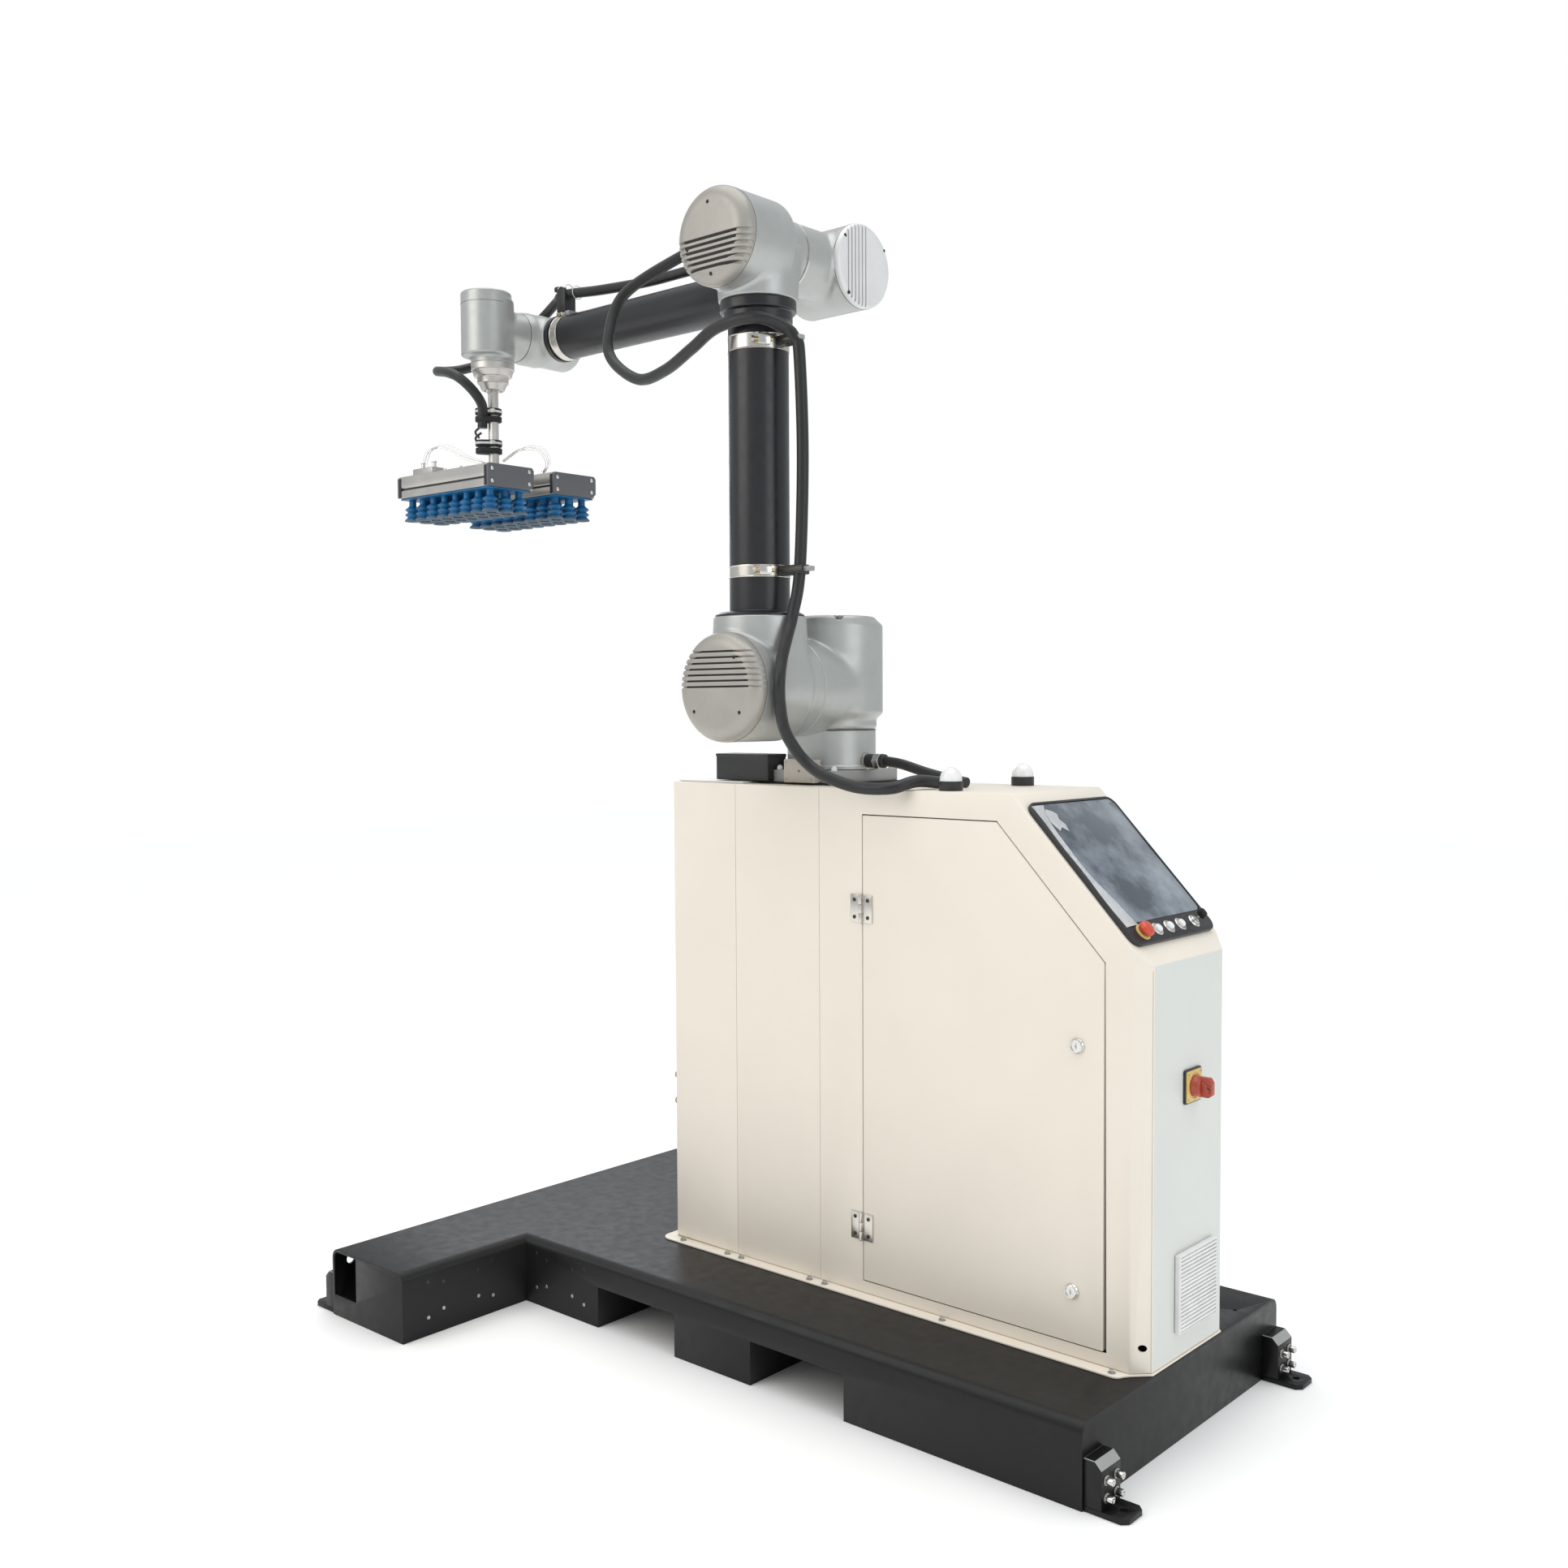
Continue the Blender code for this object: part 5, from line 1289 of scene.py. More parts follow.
def riser():
    """The steel plates under the arm, the two connection boxes, the white sheet under them, and screws."""
    plate = box((-0.110, -0.110, CAB_TOP + 0.0043), (0.100, 0.110, PLATE_TOP), 0.002)
    shim = box((-0.118, -0.118, CAB_TOP + 0.0005), (0.108, 0.118, CAB_TOP + 0.0043), 0.001)
    parts = [(plate, GREY_STEEL), (shim, BLACK_STEEL)]
    black = soften(box((-0.232, -0.130, CAB_TOP + 0.0060), (-0.0745, -0.068, 1.2780)), 0.003, 3)
    lid = box((-0.2328, -0.1308, 1.2715), (-0.0737, -0.0675, 1.2785), 0.002)
    parts += [(black, BLACK_PLASTIC), (lid, BLACK_PLASTIC)]
    parts.append((
        box((-0.330, -0.150, CAB_TOP + 0.0005), (-0.131, -0.060, CAB_TOP + 0.0040), 0.0012), WHITE_PLASTIC,
    ))
    beige = soften(box((-0.026, -0.132, CAB_TOP + 0.0050), (0.062, -0.1102, 1.269)), 0.002, 2)
    parts.append((beige, BEIGE))
    for x in (-0.019, 0.055):
        for z in (1.226, 1.262):
            parts.append(button_screw((x, -0.132, z), -Y, 0.0026))
    parts.append(button_screw((0.018, -0.132, 1.2440), -Y, 0.0022, DARK_METAL))
    plug_shape = [(0.0065, 0), (0.0065, 0.005), (0.0045, 0.009), (0, 0.0105)]
    for x in (-0.065, 0.090):
        for y in (-0.100, 0.100):
            parts.append((lathe(plug_shape, (x, y, PLATE_TOP), Z, 24, 40), WHITE_PLASTIC))
    for t in np.radians(np.arange(45, 405, 45)):
        spot = (0.104 * math.cos(t) - 0.004, 0.104 * math.sin(t), PLATE_TOP)
        parts.append(socket_screw(spot, Z, 0.0040, 0.005))
    shown("arm_riser", parts, "station", ["robot_riser"])


def first_axis_foot():
    """The fixed housing under the first axis, with its flange and cable outlet."""
    profile = [
        (0.1020, 1.2453), (0.1040, 1.2465), (0.1040, 1.2530), (0.1015, 1.2560), (0.0985, 1.2570),
        (0.0980, 1.2600), (0.0980, 1.3290), (0.0966, 1.3306),
    ]
    turned = lathe(profile, (0, 0, 0), Z, 96, 25)
    shown("first_axis_housing", [(turned, CASTING)], "station", ["j1_base"])
    parts = []
    hub = Vector((0.094, 0.000, 1.264))
    parts.append((rod(hub, hub + X * 0.010, 0.0185, edge=0.001, sides=40), ZINC))
    parts.append((rod(hub + X * 0.010, hub + X * 0.032, 0.0150, edge=0.001, sides=40), BLACK_PLASTIC))
    parts.append((
        lathe([(0.0155, 0.030), (0.0178, 0.0315), (0.0178, 0.0460), (0.0160, 0.0475)], hub, X, 6, 20),
        POLISHED,
    ))
    parts.append((
        lathe([(0.0150, 0.0475), (0.0155, 0.0485), (0.0150, 0.0560), (0.0122, 0.0590)], hub, X, 40, 30),
        BLACK_PLASTIC,
    ))
    shown("cable_outlet", parts, "station", ())


riser()
first_axis_foot()


# ---------------------------------------------------------------- castings
CAST_FILLET = 0.012
CUP_FILLET = 0.010
WRIST_CELL = 0.0025


# A thin dark ring along a joint line: painted shade in the seam's gap.
def seam(centre, direction, radius):
    return (ring(centre, direction, radius, 0.0006), RECESS_SHADE)


def shoulder():
    """The upright housing of the first axis with its side boss, back bulge and ribbed top."""
    top = high("shoulder_housing").z
    rods = [
        ((0, 0, J1_SEAM), (0, 0, top), 0.1000, 0.0100, 0.1000),
        ((0, 0.02, J2_Z), (0, J2_SEAM + 0.0003, J2_Z), 0.1000, 0.0020, 0.1065),
        ((0.0110, 0.0100, J1_SEAM + 0.030), (0.0110, 0.0100, top - 0.012), 0.0990, 0.0120, 0.0990),
    ]
    tray = ((-0.006, -0.070, top - 0.010), (0.080, 0.070, top + 0.05))
    body = carved(blend_of([field_rod(*values) for values in rods], CAST_FILLET), field_box(*tray, 0.003))
    seeds = seeds_of(rods, 0.002)
    seeds[0] = cut(seeds[0], box(*tray))
    cast_piece("shoulder_casting", casting(body, seeds), "shoulder", "shoulder_housing")
    parts = []
    for i in range(9):
        x = 0.0005 + 0.0090 * i
        half = min(math.sqrt(0.090**2 - x * x) * 0.78, 0.068)
        parts.append((
            box((x - 0.0024, -half, top - 0.0112), (x + 0.0024, half, top + 0.0004), 0.0012), CASTING,
        ))
    parts.append(seam((0, 0, J1_SEAM + 0.0006), Z, 0.0996))
    parts.append(seam((0, 0, J1_SEAM + 0.0300), Z, 0.1002))
    shown("shoulder_ribs", parts, "shoulder", ())


def joint_cup(name, z, radius, wide_end, ring_r, seam_y, neck, cap_back, node):
    """A joint's housing along Y. neck is (start z, end z, start radius, end radius) of the tube's socket."""
    z0, z1, r0, r1 = neck
    rods = [
        ((0, cap_back, z), (0, wide_end, z), radius, 0.0010, radius),
        ((0, cap_back + 0.02, z), (0, seam_y - 0.0003, z), ring_r, 0.0015, ring_r),
        ((0, ARM_Y, z0), (0, ARM_Y, z1), r0, 0.0030, r1),
    ]
    wide = carved(
        field_rod((0, cap_back, z), (0, wide_end + 0.02, z), radius, 0.001),
        lambda p: wide_profile(p, z, radius, wide_end, 0.014),
        0.0005,
    )
    body = blend_of([wide, *[field_rod(*values) for values in rods[1:]]], CUP_FILLET)
    cast_piece(name, casting(body, seeds_of(rods)), "upper_arm", node)


def wide_profile(p, z, radius, wide_end, edge):
    """Negative where the wide part of a joint housing has to be cut away behind its rounded rear edge."""
    across = np.hypot(p[:, 0], p[:, 2] - z)
    out = np.stack([across - radius + edge, p[:, 1] - wide_end + edge], 1)
    inside = np.minimum(out.max(1), 0) + np.linalg.norm(np.maximum(out, 0), axis=1) - edge
    return -inside


def joint_cap(name, z, radius, cap, grooves, slot_half, middle_z, screws, node):
    """A joint's cover: a flat front that rounds off to the rim, with grooves between ribs, and screws."""
    front, round_end, seam_y, flat_r = cap
    turns = np.linspace(0, math.pi / 2, 12)
    rim = [
        (flat_r + (radius - flat_r) * math.cos(t), round_end + (front - round_end) * math.sin(t))
        for t in turns
    ]
    outline = [(0, front), *rim[::-1], (radius, seam_y + 0.0012), (radius - 0.0008, seam_y + 0.0003)]
    disc = lathe([(r, y - front) for r, y in outline], (0, front, z), Y, 112, 28)
    slots = []
    for i in range(grooves):
        mid = middle_z + CAP_PITCH * (i - (grooves - 1) / 2)
        across = abs(mid - z)
        reach = math.sqrt(max(radius**2 - across**2, 0.0001))
        flat = math.sqrt(max(flat_r**2 - across**2, 0.0001))
        bend = [
            (reach + 0.012, round_end + 0.004), (reach + 0.012, front - 0.02),
            (-reach - 0.012, front - 0.02),
        ]
        bend.append((-reach - 0.012, round_end + 0.004))
        for t in np.linspace(0, math.pi / 2, 9):
            bend.append((
                -flat - (reach - flat) * math.cos(t),
                round_end + 0.0048 + (front - round_end) * math.sin(t),
            ))
        for t in np.linspace(math.pi / 2, 0, 9):
            bend.append((
                flat + (reach - flat) * math.cos(t), round_end + 0.0048 + (front - round_end) * math.sin(t),
            ))
        slots.append(prism(bend, mid - slot_half, mid + slot_half, "z"))
    for dx, dz in screws:
        at = Vector((dx, front, z + dz))
        slots.append(rod(at - Y * 0.01, at + Y * 0.0045, 0.0042, sides=24))
    disc = soften(cut(disc, *slots), 0.0005, 2, 40)
    parts = [(disc, CAP)]
    # A dark shell behind the cover, seen through its grooves and screw holes: painted shade.
    back = [(r - 0.0035, y + 0.0042) for r, y in rim[::-1]]
    dark = [(0, 0.0042), *[(r, y - front) for r, y in back if r > 0]]
    parts.append((lathe([*dark, (radius - 0.0035, seam_y - front)], (0, front, z), Y, 72, 28), RECESS_SHADE))
    for dx, dz in screws:
        at = Vector((dx, front + 0.0042, z + dz))
        parts.append((socket_screw(at, -Y, 0.0034, 0.0030)[0], DARK_METAL))
    parts.append(seam((0, seam_y + 0.0002, z), Y, radius - 0.0002))
    shown(name, parts, "upper_arm", [node])


def elbow_root():
    """The forearm's root: a housing along the forearm with the elbow's boss and a ribbed end cover."""
    y, z = FOREARM_Y, J3_Z
    x0, x1 = low("forearm_root").x, 0.0870
    rods = [
        ((x0 + 0.040, y, z), (x1 - 0.0125, y, z), 0.0900, 0.0030, 0.0900),
        ((x0, y, z), (x0 + 0.060, y, z), 0.0640, 0.0030, 0.0800),
        ((0.0, y + 0.01, z), (0.0, J3_SEAM + 0.0003, z), 0.0735, 0.0015, 0.0735),
    ]
    cast_piece("forearm_root_casting", casting_of(rods, CAST_FILLET, 0.003), "forearm", "forearm_root")
    edge = 0.0090
    turns = np.linspace(0, math.pi / 2, 8)
    rim = [(0.0900 - edge + edge * math.cos(t), edge - edge * math.sin(t)) for t in turns[::-1]]
    disc = lathe([(0, 0), *rim, (0.0900, 0.0120)], (x1, y, z), -X, 112, 28)
    slots = []
    for i in range(6):
        mid = y - 0.025 + 0.0118 * (i - 2.5)
        slots.append(box((x1 - 0.0034, mid - 0.0020, z - 0.2), (x1 + 0.02, mid + 0.0020, z + 0.2)))
    spots = [(0.070, 0.047), (-0.064, 0.052), (-0.052, -0.066)]
    for dy, dz in spots:
        at = Vector((x1, y + dy, z + dz))
        slots.append(rod(at + X * 0.01, at - X * 0.0030, 0.0040, sides=24))
    disc = soften(cut(disc, *slots), 0.0006, 2, 40)
    # A dark shell inside the end cover, seen through its slots: painted shade.
    inner = lathe([(0, 0.0030), (0.0850, 0.0030), (0.0850, 0.0115)], (x1, y, z), -X, 72, 28)
    parts = [(disc, COVER_WHITE), (inner, RECESS_SHADE)]
    for dy, dz in spots:
        at = Vector((x1 - 0.0028, y + dy, z + dz))
        parts.append((socket_screw(at, X, 0.0033, 0.0026)[0], DARK_METAL))
    parts.append(seam((x1 - 0.0123, y, z), X, 0.0898))
    ring_profile = [(0.0734, 0), (0.0752, 0.0012), (0.0752, 0.0045), (0.0734, 0.0057)]
    parts.append((lathe(ring_profile, (0, J3_SEAM + 0.0010, z), Y, 96, 40), POLISHED))
    shown("forearm_root_cover", parts, "forearm", ())


def wrist_castings():
    """The fourth axis's housing at the forearm's end, and the fifth axis's upright housing."""
    x, z = J4.x, J4.z
    y = FOREARM_Y
    start = low("forearm_tube").x - 0.0003
    rods = [
        ((x, high("j4_housing").y, z), (x, J4.y + 0.0003, z), 0.0630, 0.0240, 0.0630),
        ((start, y, z), (x + 0.01, y, z), 0.0540, 0.0015, 0.0600),
        ((x, 0.0, z), (x, J4.y + 0.0003, z), 0.0625, 0.0012, 0.0625),
    ]
    cast_piece("fourth_axis_casting", casting_of(rods, 0.014, WRIST_CELL), "forearm", "j4_housing")
    top, foot_z = high("j5_housing").z, low("j5_housing").z
    y5 = J5.y
    rods = [
        ((x, y5, foot_z), (x, y5, top - 0.020), 0.0545, 0.0015, 0.0545),
        ((x, y5, z), (x, J4.y - 0.0003, z), 0.0560, 0.0012, 0.0620),
        ((x - 0.004, y5 - 0.015, 2.274), (x - 0.004, y5 - 0.015, top), 0.0640, 0.0055, 0.0640),
    ]
    cast_piece("fifth_axis_casting", casting_of(rods, CUP_FILLET, WRIST_CELL), "wrist", "j5_housing")
    parts = [seam((x - 0.004, y5 - 0.015, top - 0.0300), Z, 0.0638), seam((x, J4.y - 0.0005, z), Y, 0.0616)]
    parts.append((
        lathe(
            [(0.0350, 0), (0.0350, 0.0010), (0.0200, 0.0016), (0, 0.0016)],
            (x - 0.004, y5 - 0.015, top - 0.0008), Z, 48, 30,
        ),
        CAP,
    ))
    shown("fifth_axis_seams", parts, "wrist", ())


shoulder()
joint_cup(
    "second_axis_casting", J2_Z, 0.1134, -0.186, 0.1070, J2_SEAM,
    (J2_Z, high("j2_housing").z, 0.1060, 0.0975), J2_CAP[2] + 0.0003, "j2_housing",
)
joint_cup(
    "third_axis_casting", J3_Z, 0.1000, -0.217, 0.0735, J3_SEAM,
    (J3_Z, low("j3_housing").z, 0.0900, 0.0830), J3_CAP[2] + 0.0003, "j3_housing",
)
joint_cap(
    "second_axis_cap", J2_Z, 0.1134, J2_CAP, 7, 0.0021, J2_Z + 0.037,
    ((0.052, 0.060), (0.066, -0.052), (-0.062, -0.050)), "j2_cap",
)
joint_cap(
    "third_axis_cap", J3_Z, 0.1000, J3_CAP, 6, 0.0034, J3_Z - 0.036,
    ((-0.002, 0.064), (0.004, -0.080), (-0.060, -0.022)), "j3_cap",
)
elbow_root()
wrist_castings()


# ---------------------------------------------------------------- tubes and clips
def worm_clip(at, axis, out, radius, height):
    """A stainless band round a tube with rolled edges and a worm-screw housing on its out side."""
    axis = Vector(axis)
    out = Vector(out)
    side = axis.cross(out)
    h = height / 2
    profile = [
        (radius + 0.0002, -h), (radius + 0.0016, -h), (radius + 0.0019, -h + 0.0012),
        (radius + 0.0011, -h + 0.0026),
        (radius + 0.0011, h - 0.0026), (radius + 0.0019, h - 0.0012), (radius + 0.0016, h),
        (radius + 0.0002, h),
    ]
    parts = [(lathe(profile, at, axis, 96, 28), STAINLESS)]
    centre = Vector(at) + out * (radius + 0.0055)
    turn = Matrix((side, axis, out)).transposed().to_4x4()
    housing = moved(
        box((-0.014, -h * 0.72, -0.0045), (0.012, h * 0.72, 0.0045), 0.002),
        Matrix.Translation(centre) @ turn,
    )
    parts.append((housing, POLISHED))
    screw = rod(centre - side * 0.022, centre + side * 0.018, 0.0040, edge=0.0006, sides=24)
    parts.append((screw, BRASS))
    head = lathe([(0.0062, 0), (0.0062, 0.006), (0.0054, 0.0068)], centre - side * 0.0285, side, 6, 20)
    parts.append((head, ZINC))
    return parts


def long_tube():
    """The upper arm's tube with its collars, bands and hose clips."""
    foot_z = low("upper_tube").z
    top_z = high("upper_tube").z
    body = lathe([(UPPER_R, foot_z), (UPPER_R, top_z)], (0, ARM_Y, 0), Z, 112, 30)
    collar = lathe(
        [
            (UPPER_R, foot_z), (0.0935, foot_z), (0.0940, foot_z + 0.0010), (0.0940, foot_z + 0.0035),
            (0.0925, foot_z + 0.0045), (0.0840, foot_z + 0.0090), (0.0670, foot_z + 0.0105),
            (0.0660, foot_z + 0.0120), (UPPER_R, foot_z + 0.0130),
        ],
        (0, ARM_Y, 0), Z, 112, 25,
    )
    upper = lathe(
        [
            (UPPER_R, top_z - 0.046), (0.0700, top_z - 0.0450), (0.0720, top_z - 0.0420),
            (0.0720, top_z - 0.0250), (0.0745, top_z - 0.0230), (0.0790, top_z - 0.0220),
            (0.0800, top_z - 0.0200), (0.0800, top_z - 0.0030), (0.0785, top_z),
        ],
        (0, ARM_Y, 0), Z, 112, 25,
    )
    parts = [(body, TUBE), (collar, TUBE), (upper, TUBE)]
    shown("upper_arm_tube", parts, "upper_arm", ["upper_tube"])
    for title, z, height, hose_x in (("lower", 1.664, 0.025, 0.112), ("upper", 2.135, 0.032, 0.088)):
        out = Vector((0.80, -0.60, 0)).normalized()
        parts = worm_clip((0, ARM_Y, z), Z, out, UPPER_R, height)
        near_x = UPPER_R + 0.001
        far_x = hose_x + HOSE_R + 0.006
        saddle = soften(
            box((near_x, ARM_Y - 0.013, z - 0.010), (far_x - 0.003, ARM_Y + 0.013, z + 0.010)), 0.002,
        )
        bore = rod((hose_x, ARM_Y, z - 0.05), (hose_x, ARM_Y, z + 0.05), HOSE_R + 0.0002, sides=32)
        parts.append((cut(saddle, bore), BLACK_PLASTIC))
        lug = soften(
            box((far_x - 0.004, ARM_Y - 0.0075, z - 0.004), (far_x + 0.016, ARM_Y + 0.0075, z + 0.006)),
            0.0018,
        )
        parts.append((lug, GREY_STEEL))
        parts.append((
            box((near_x + 0.004, ARM_Y - 0.0160, z - 0.005), (far_x, ARM_Y - 0.0125, z + 0.005), 0.001),
            DARK_METAL,
        ))
        shown("hose_clip_" + title, parts, "upper_arm", ())


def fore_tube():
    """The forearm's tube with the rings and band at its far end."""
    x0, x1 = low("forearm_tube").x, high("forearm_tube").x
    y, z = FOREARM_Y, J3_Z
    body = lathe([(FOREARM_R, 0), (FOREARM_R, x1 - x0)], (x0, y, z), X, 112, 30)
    dark = lathe(
        [
            (FOREARM_R, 0.0), (0.0575, 0.0), (0.0585, 0.0010), (0.0585, 0.0130), (0.0575, 0.0145),
            (FOREARM_R, 0.0150),
        ],
        (x0, y, z), X, 112, 30,
    )
    inner = lathe(
        [
            (FOREARM_R, 0.0), (0.0600, 0.0006), (0.0625, 0.0020), (0.0625, 0.0100), (0.0600, 0.0120),
            (FOREARM_R, 0.0130),
        ],
        (x1 - 0.0132, y, z), X, 112, 30,
    )
    shown(
        "forearm_tube_body", [(body, TUBE), (dark, TUBE), (inner, TUBE)], "forearm", ["forearm_tube"],
    )
    at = Vector((-0.885, y, z))
    parts = worm_clip(at, X, Vector((0, -0.30, 0.95)).normalized(), FOREARM_R, 0.026)
    shown("forearm_band", parts, "forearm", ())
    top = z + FOREARM_R
    hose_z = 2.455
    foot_mesh = soften(box((-0.915, y - 0.017, top - 0.004), (-0.865, y + 0.017, top + 0.010)), 0.003)
    cradle = soften(box((-0.910, y - 0.019, top + 0.008), (-0.878, y + 0.019, hose_z + 0.004)), 0.003)
    bore = rod((-1.0, y, hose_z - 0.001), (-0.8, y, hose_z + 0.001), HOSE_R + 0.0003, sides=32)
    parts = [(foot_mesh, GREY_STEEL), (cut(cradle, bore), BLACK_PLASTIC)]
    parts.append((
        box((-0.930, y - 0.010, hose_z + 0.001), (-0.912, y + 0.010, hose_z + 0.014), 0.003), BLACK_PLASTIC,
    ))
    for dx in (-0.016, 0.012):
        parts.append((ring((-0.894 + dx, y, hose_z), X, HOSE_R + 0.0014, 0.0012, 40), TIE))
    parts.append((ring((-0.850, y, hose_z - 0.012), X, HOSE_R + 0.004, 0.0010, 40), TIE))
    shown("forearm_hose_saddle", parts, "forearm", ())


long_tube()
fore_tube()


# ---------------------------------------------------------------- shaft and gripper
def shaft():
    """The fifth axis's stepped flange and the rod that carries the gripper."""
    x, y = J5.x, J5.y
    top = J5.z
    steps = [
        (0.0545, top), (0.0545, top - 0.0150), (0.0535, top - 0.0162), (0.0515, top - 0.0165),
        (0.0480, top - 0.0300),
        (0.0470, top - 0.0318), (0.0400, top - 0.0322), (0.0395, top - 0.0335), (0.0395, top - 0.0480),
        (0.0385, top - 0.0492), (0.0350, top - 0.0495), (0.0290, top - 0.0650), (0.0275, top - 0.0660),
        (0.0130, top - 0.0660), (0.0130, 2.0000), (0.0190, 1.9990), (0.0205, 1.9975), (0.0205, 1.9810),
        (0.0195, 1.9792),
    ]
    turned = lathe(steps[::-1], (x, y, 0), Z, 72, 25)
    parts = [(turned, SHAFT)]
    for t in np.radians(np.arange(0, 360, 60)):
        parts.append(
            socket_screw(
                (x + 0.0205 * math.cos(t), y + 0.0205 * math.sin(t), top - 0.0661), -Z, 0.0028, 0.0030,
            )
        )
    shown("tool_flange_and_rod", parts, "tool", ["tool_shaft"])


def bar(name, title):
    """A vacuum bar: an extruded aluminium profile with grooves, and end plates with screws."""
    a, b = low(name), high(name)
    y = (a.y + b.y) / 2
    half = (b.y - a.y) / 2
    profile = [
        (-half, a.z), (half, a.z), (half, a.z + 0.0180), (half - 0.0030, a.z + 0.0195),
        (half - 0.0030, a.z + 0.0245),
        (half, a.z + 0.0260), (half, b.z - 0.0015), (half - 0.0015, b.z), (0.030, b.z),
        (0.0290, b.z - 0.0022), (0.0240, b.z - 0.0022),
        (0.0230, b.z), (-0.0230, b.z), (-0.0240, b.z - 0.0022), (-0.0290, b.z - 0.0022), (-0.030, b.z),
        (-half + 0.0015, b.z), (-half, b.z - 0.0015), (-half, a.z + 0.0260), (-half + 0.0030, a.z + 0.0245),
        (-half + 0.0030, a.z + 0.0195), (-half, a.z + 0.0180),
    ]
    points = [(y + p, q) for p, q in profile]
    thick = 0.006
    body = prism(points, a.x + thick, b.x - thick, "x", 0.0004, 1)
    parts = [(body, ALUMINIUM)]
    for s in (-1, 1):
        line = box(
            (a.x + thick, y + s * (half - 0.0032) - 0.0006, a.z + 0.0200),
            (b.x - thick, y + s * (half - 0.0032) + 0.0006, a.z + 0.0240),
        )
        parts.append((line, DARK_EDGE))
    n = 0.010
    for end, s in ((a.x, -1), (b.x, 1)):
        near, far = sorted((end, end - s * (thick - 0.0002)))
        plate = [
            (y - half - 0.0008, a.z + 0.001), (y + half - n, a.z + 0.001), (y + half + 0.0008, a.z + n),
            (y + half + 0.0008, b.z - 0.006),
            (y + half - 0.005, b.z + 0.0008), (y - half + 0.005, b.z + 0.0008),
            (y - half - 0.0008, b.z - 0.005),
        ]
        parts.append((prism(plate, near, far, "x", 0.0009), SLATE_PLATE))
        inner, outer = sorted((end - s * (thick - 0.0001), end - s * 0.0150))
        parts.append((
            prism([(y + (p - y) * 1.004, q) for p, q in plate], inner, outer, "x", 0.0006), DARK_EDGE,
        ))
        for dy, dz in (
            (-half + 0.012, 0.012), (-half + 0.012, 0.042), (half - 0.014, 0.014), (half - 0.014, 0.044),
        ):
            parts.append(button_screw((end, y + dy, a.z + dz), X * s, 0.0046, POLISHED))
    shown(title, parts, "tool", [name])


def cup(at, top):
    """One bellows cup: a neck, two folds and a lip."""
    profile = [
        (0.0088, 0.0000), (0.0088, -0.0160), (0.0098, -0.0190), (0.0150, -0.0232), (0.0186, -0.0262),
        (0.0190, -0.0276),
        (0.0180, -0.0290), (0.0130, -0.0326), (0.0126, -0.0338), (0.0134, -0.0350), (0.0188, -0.0388),
        (0.0195, -0.0402),
        (0.0187, -0.0416), (0.0138, -0.0450), (0.0134, -0.0462), (0.0142, -0.0476), (0.0198, -0.0530),
        (0.0205, -0.0556),
        (0.0200, -0.0566), (0.0188, -0.0562), (0.0120, -0.0510), (0.0040, -0.0490), (0, -0.0490),
    ]
    return lathe(profile, (at[0], at[1], top), Z, 20, 40)


def cups(name, title):
    """The bank of suction cups under a bar."""
    a, b = low(name), high(name)
    mid = (a + b) / 2
    top = b.z
    sheet = box((a.x + 0.002, a.y + 0.002, top - 0.004), (b.x - 0.002, b.y - 0.002, top), 0.0015)
    work = bmesh.new()
    one = cup((0, 0), 0)
    for row in range(3):
        for i in range(8):
            spot = Vector((mid.x + 0.045 * (i - 3.5), mid.y + 0.044 * (row - 1), top - 0.0006))
            work.from_mesh(moved(one, Matrix.Translation(spot)))
    bank = bpy.data.meshes.new("bank")
    work.to_mesh(bank)
    work.free()
    lip, rest = split_by(bank, lambda f: f.calc_center_median().z < top - 0.0535)
    shown(title, [(sheet, BLUE), (rest, BLUE), (lip, LIP)], "tool", [name])


def cross_plate():
    """The plate that joins both bars, with its screws and the valve block."""
    a, b = low("gripper_cross_plate"), high("gripper_cross_plate")
    plate = soften(box(a, b), 0.0015)
    parts = [(plate, ALUMINIUM)]
    for dx in (-0.032, 0.032):
        for y in (a.y + 0.012, a.y + 0.070, b.y - 0.070, b.y - 0.012):
            parts.append(socket_screw((J5.x + dx, y, b.z), Z, 0.0045, 0.005))
    shown("gripper_plate", parts, "tool", ["gripper_cross_plate"])
    bar_low = low("near_bar")
    bar_top = high("near_bar").z
    parts = []
    block = soften(
        box((-1.115, bar_low.y + 0.008, bar_top + 0.0002), (-1.035, bar_low.y + 0.048, bar_top + 0.016)),
        0.0018,
    )
    parts.append((block, ALUMINIUM))
    for x in (-1.098, -1.052):
        at = Vector((x, bar_low.y + 0.028, bar_top + 0.016))
        parts.append((
            lathe(
                [
                    (0.0070, 0), (0.0070, 0.0040), (0.0050, 0.0050), (0.0050, 0.0130), (0.0062, 0.0138),
                    (0.0062, 0.0165), (0.0035, 0.0170), (0.0035, 0.0100),
                ],
                at, Z, 28, 25,
            ),
            POLISHED,
        ))
    fitting = [(0.0060, 0), (0.0060, 0.006), (0.0045, 0.0065), (0.0045, 0.012), (0, 0.012)]
    for x, y in ((-0.870, -0.090), (-1.130, -0.250)):
        parts.append((lathe(fitting, (x, y, bar_top), Z, 28, 25), POLISHED))
    shown("valve_block", parts, "tool", ())


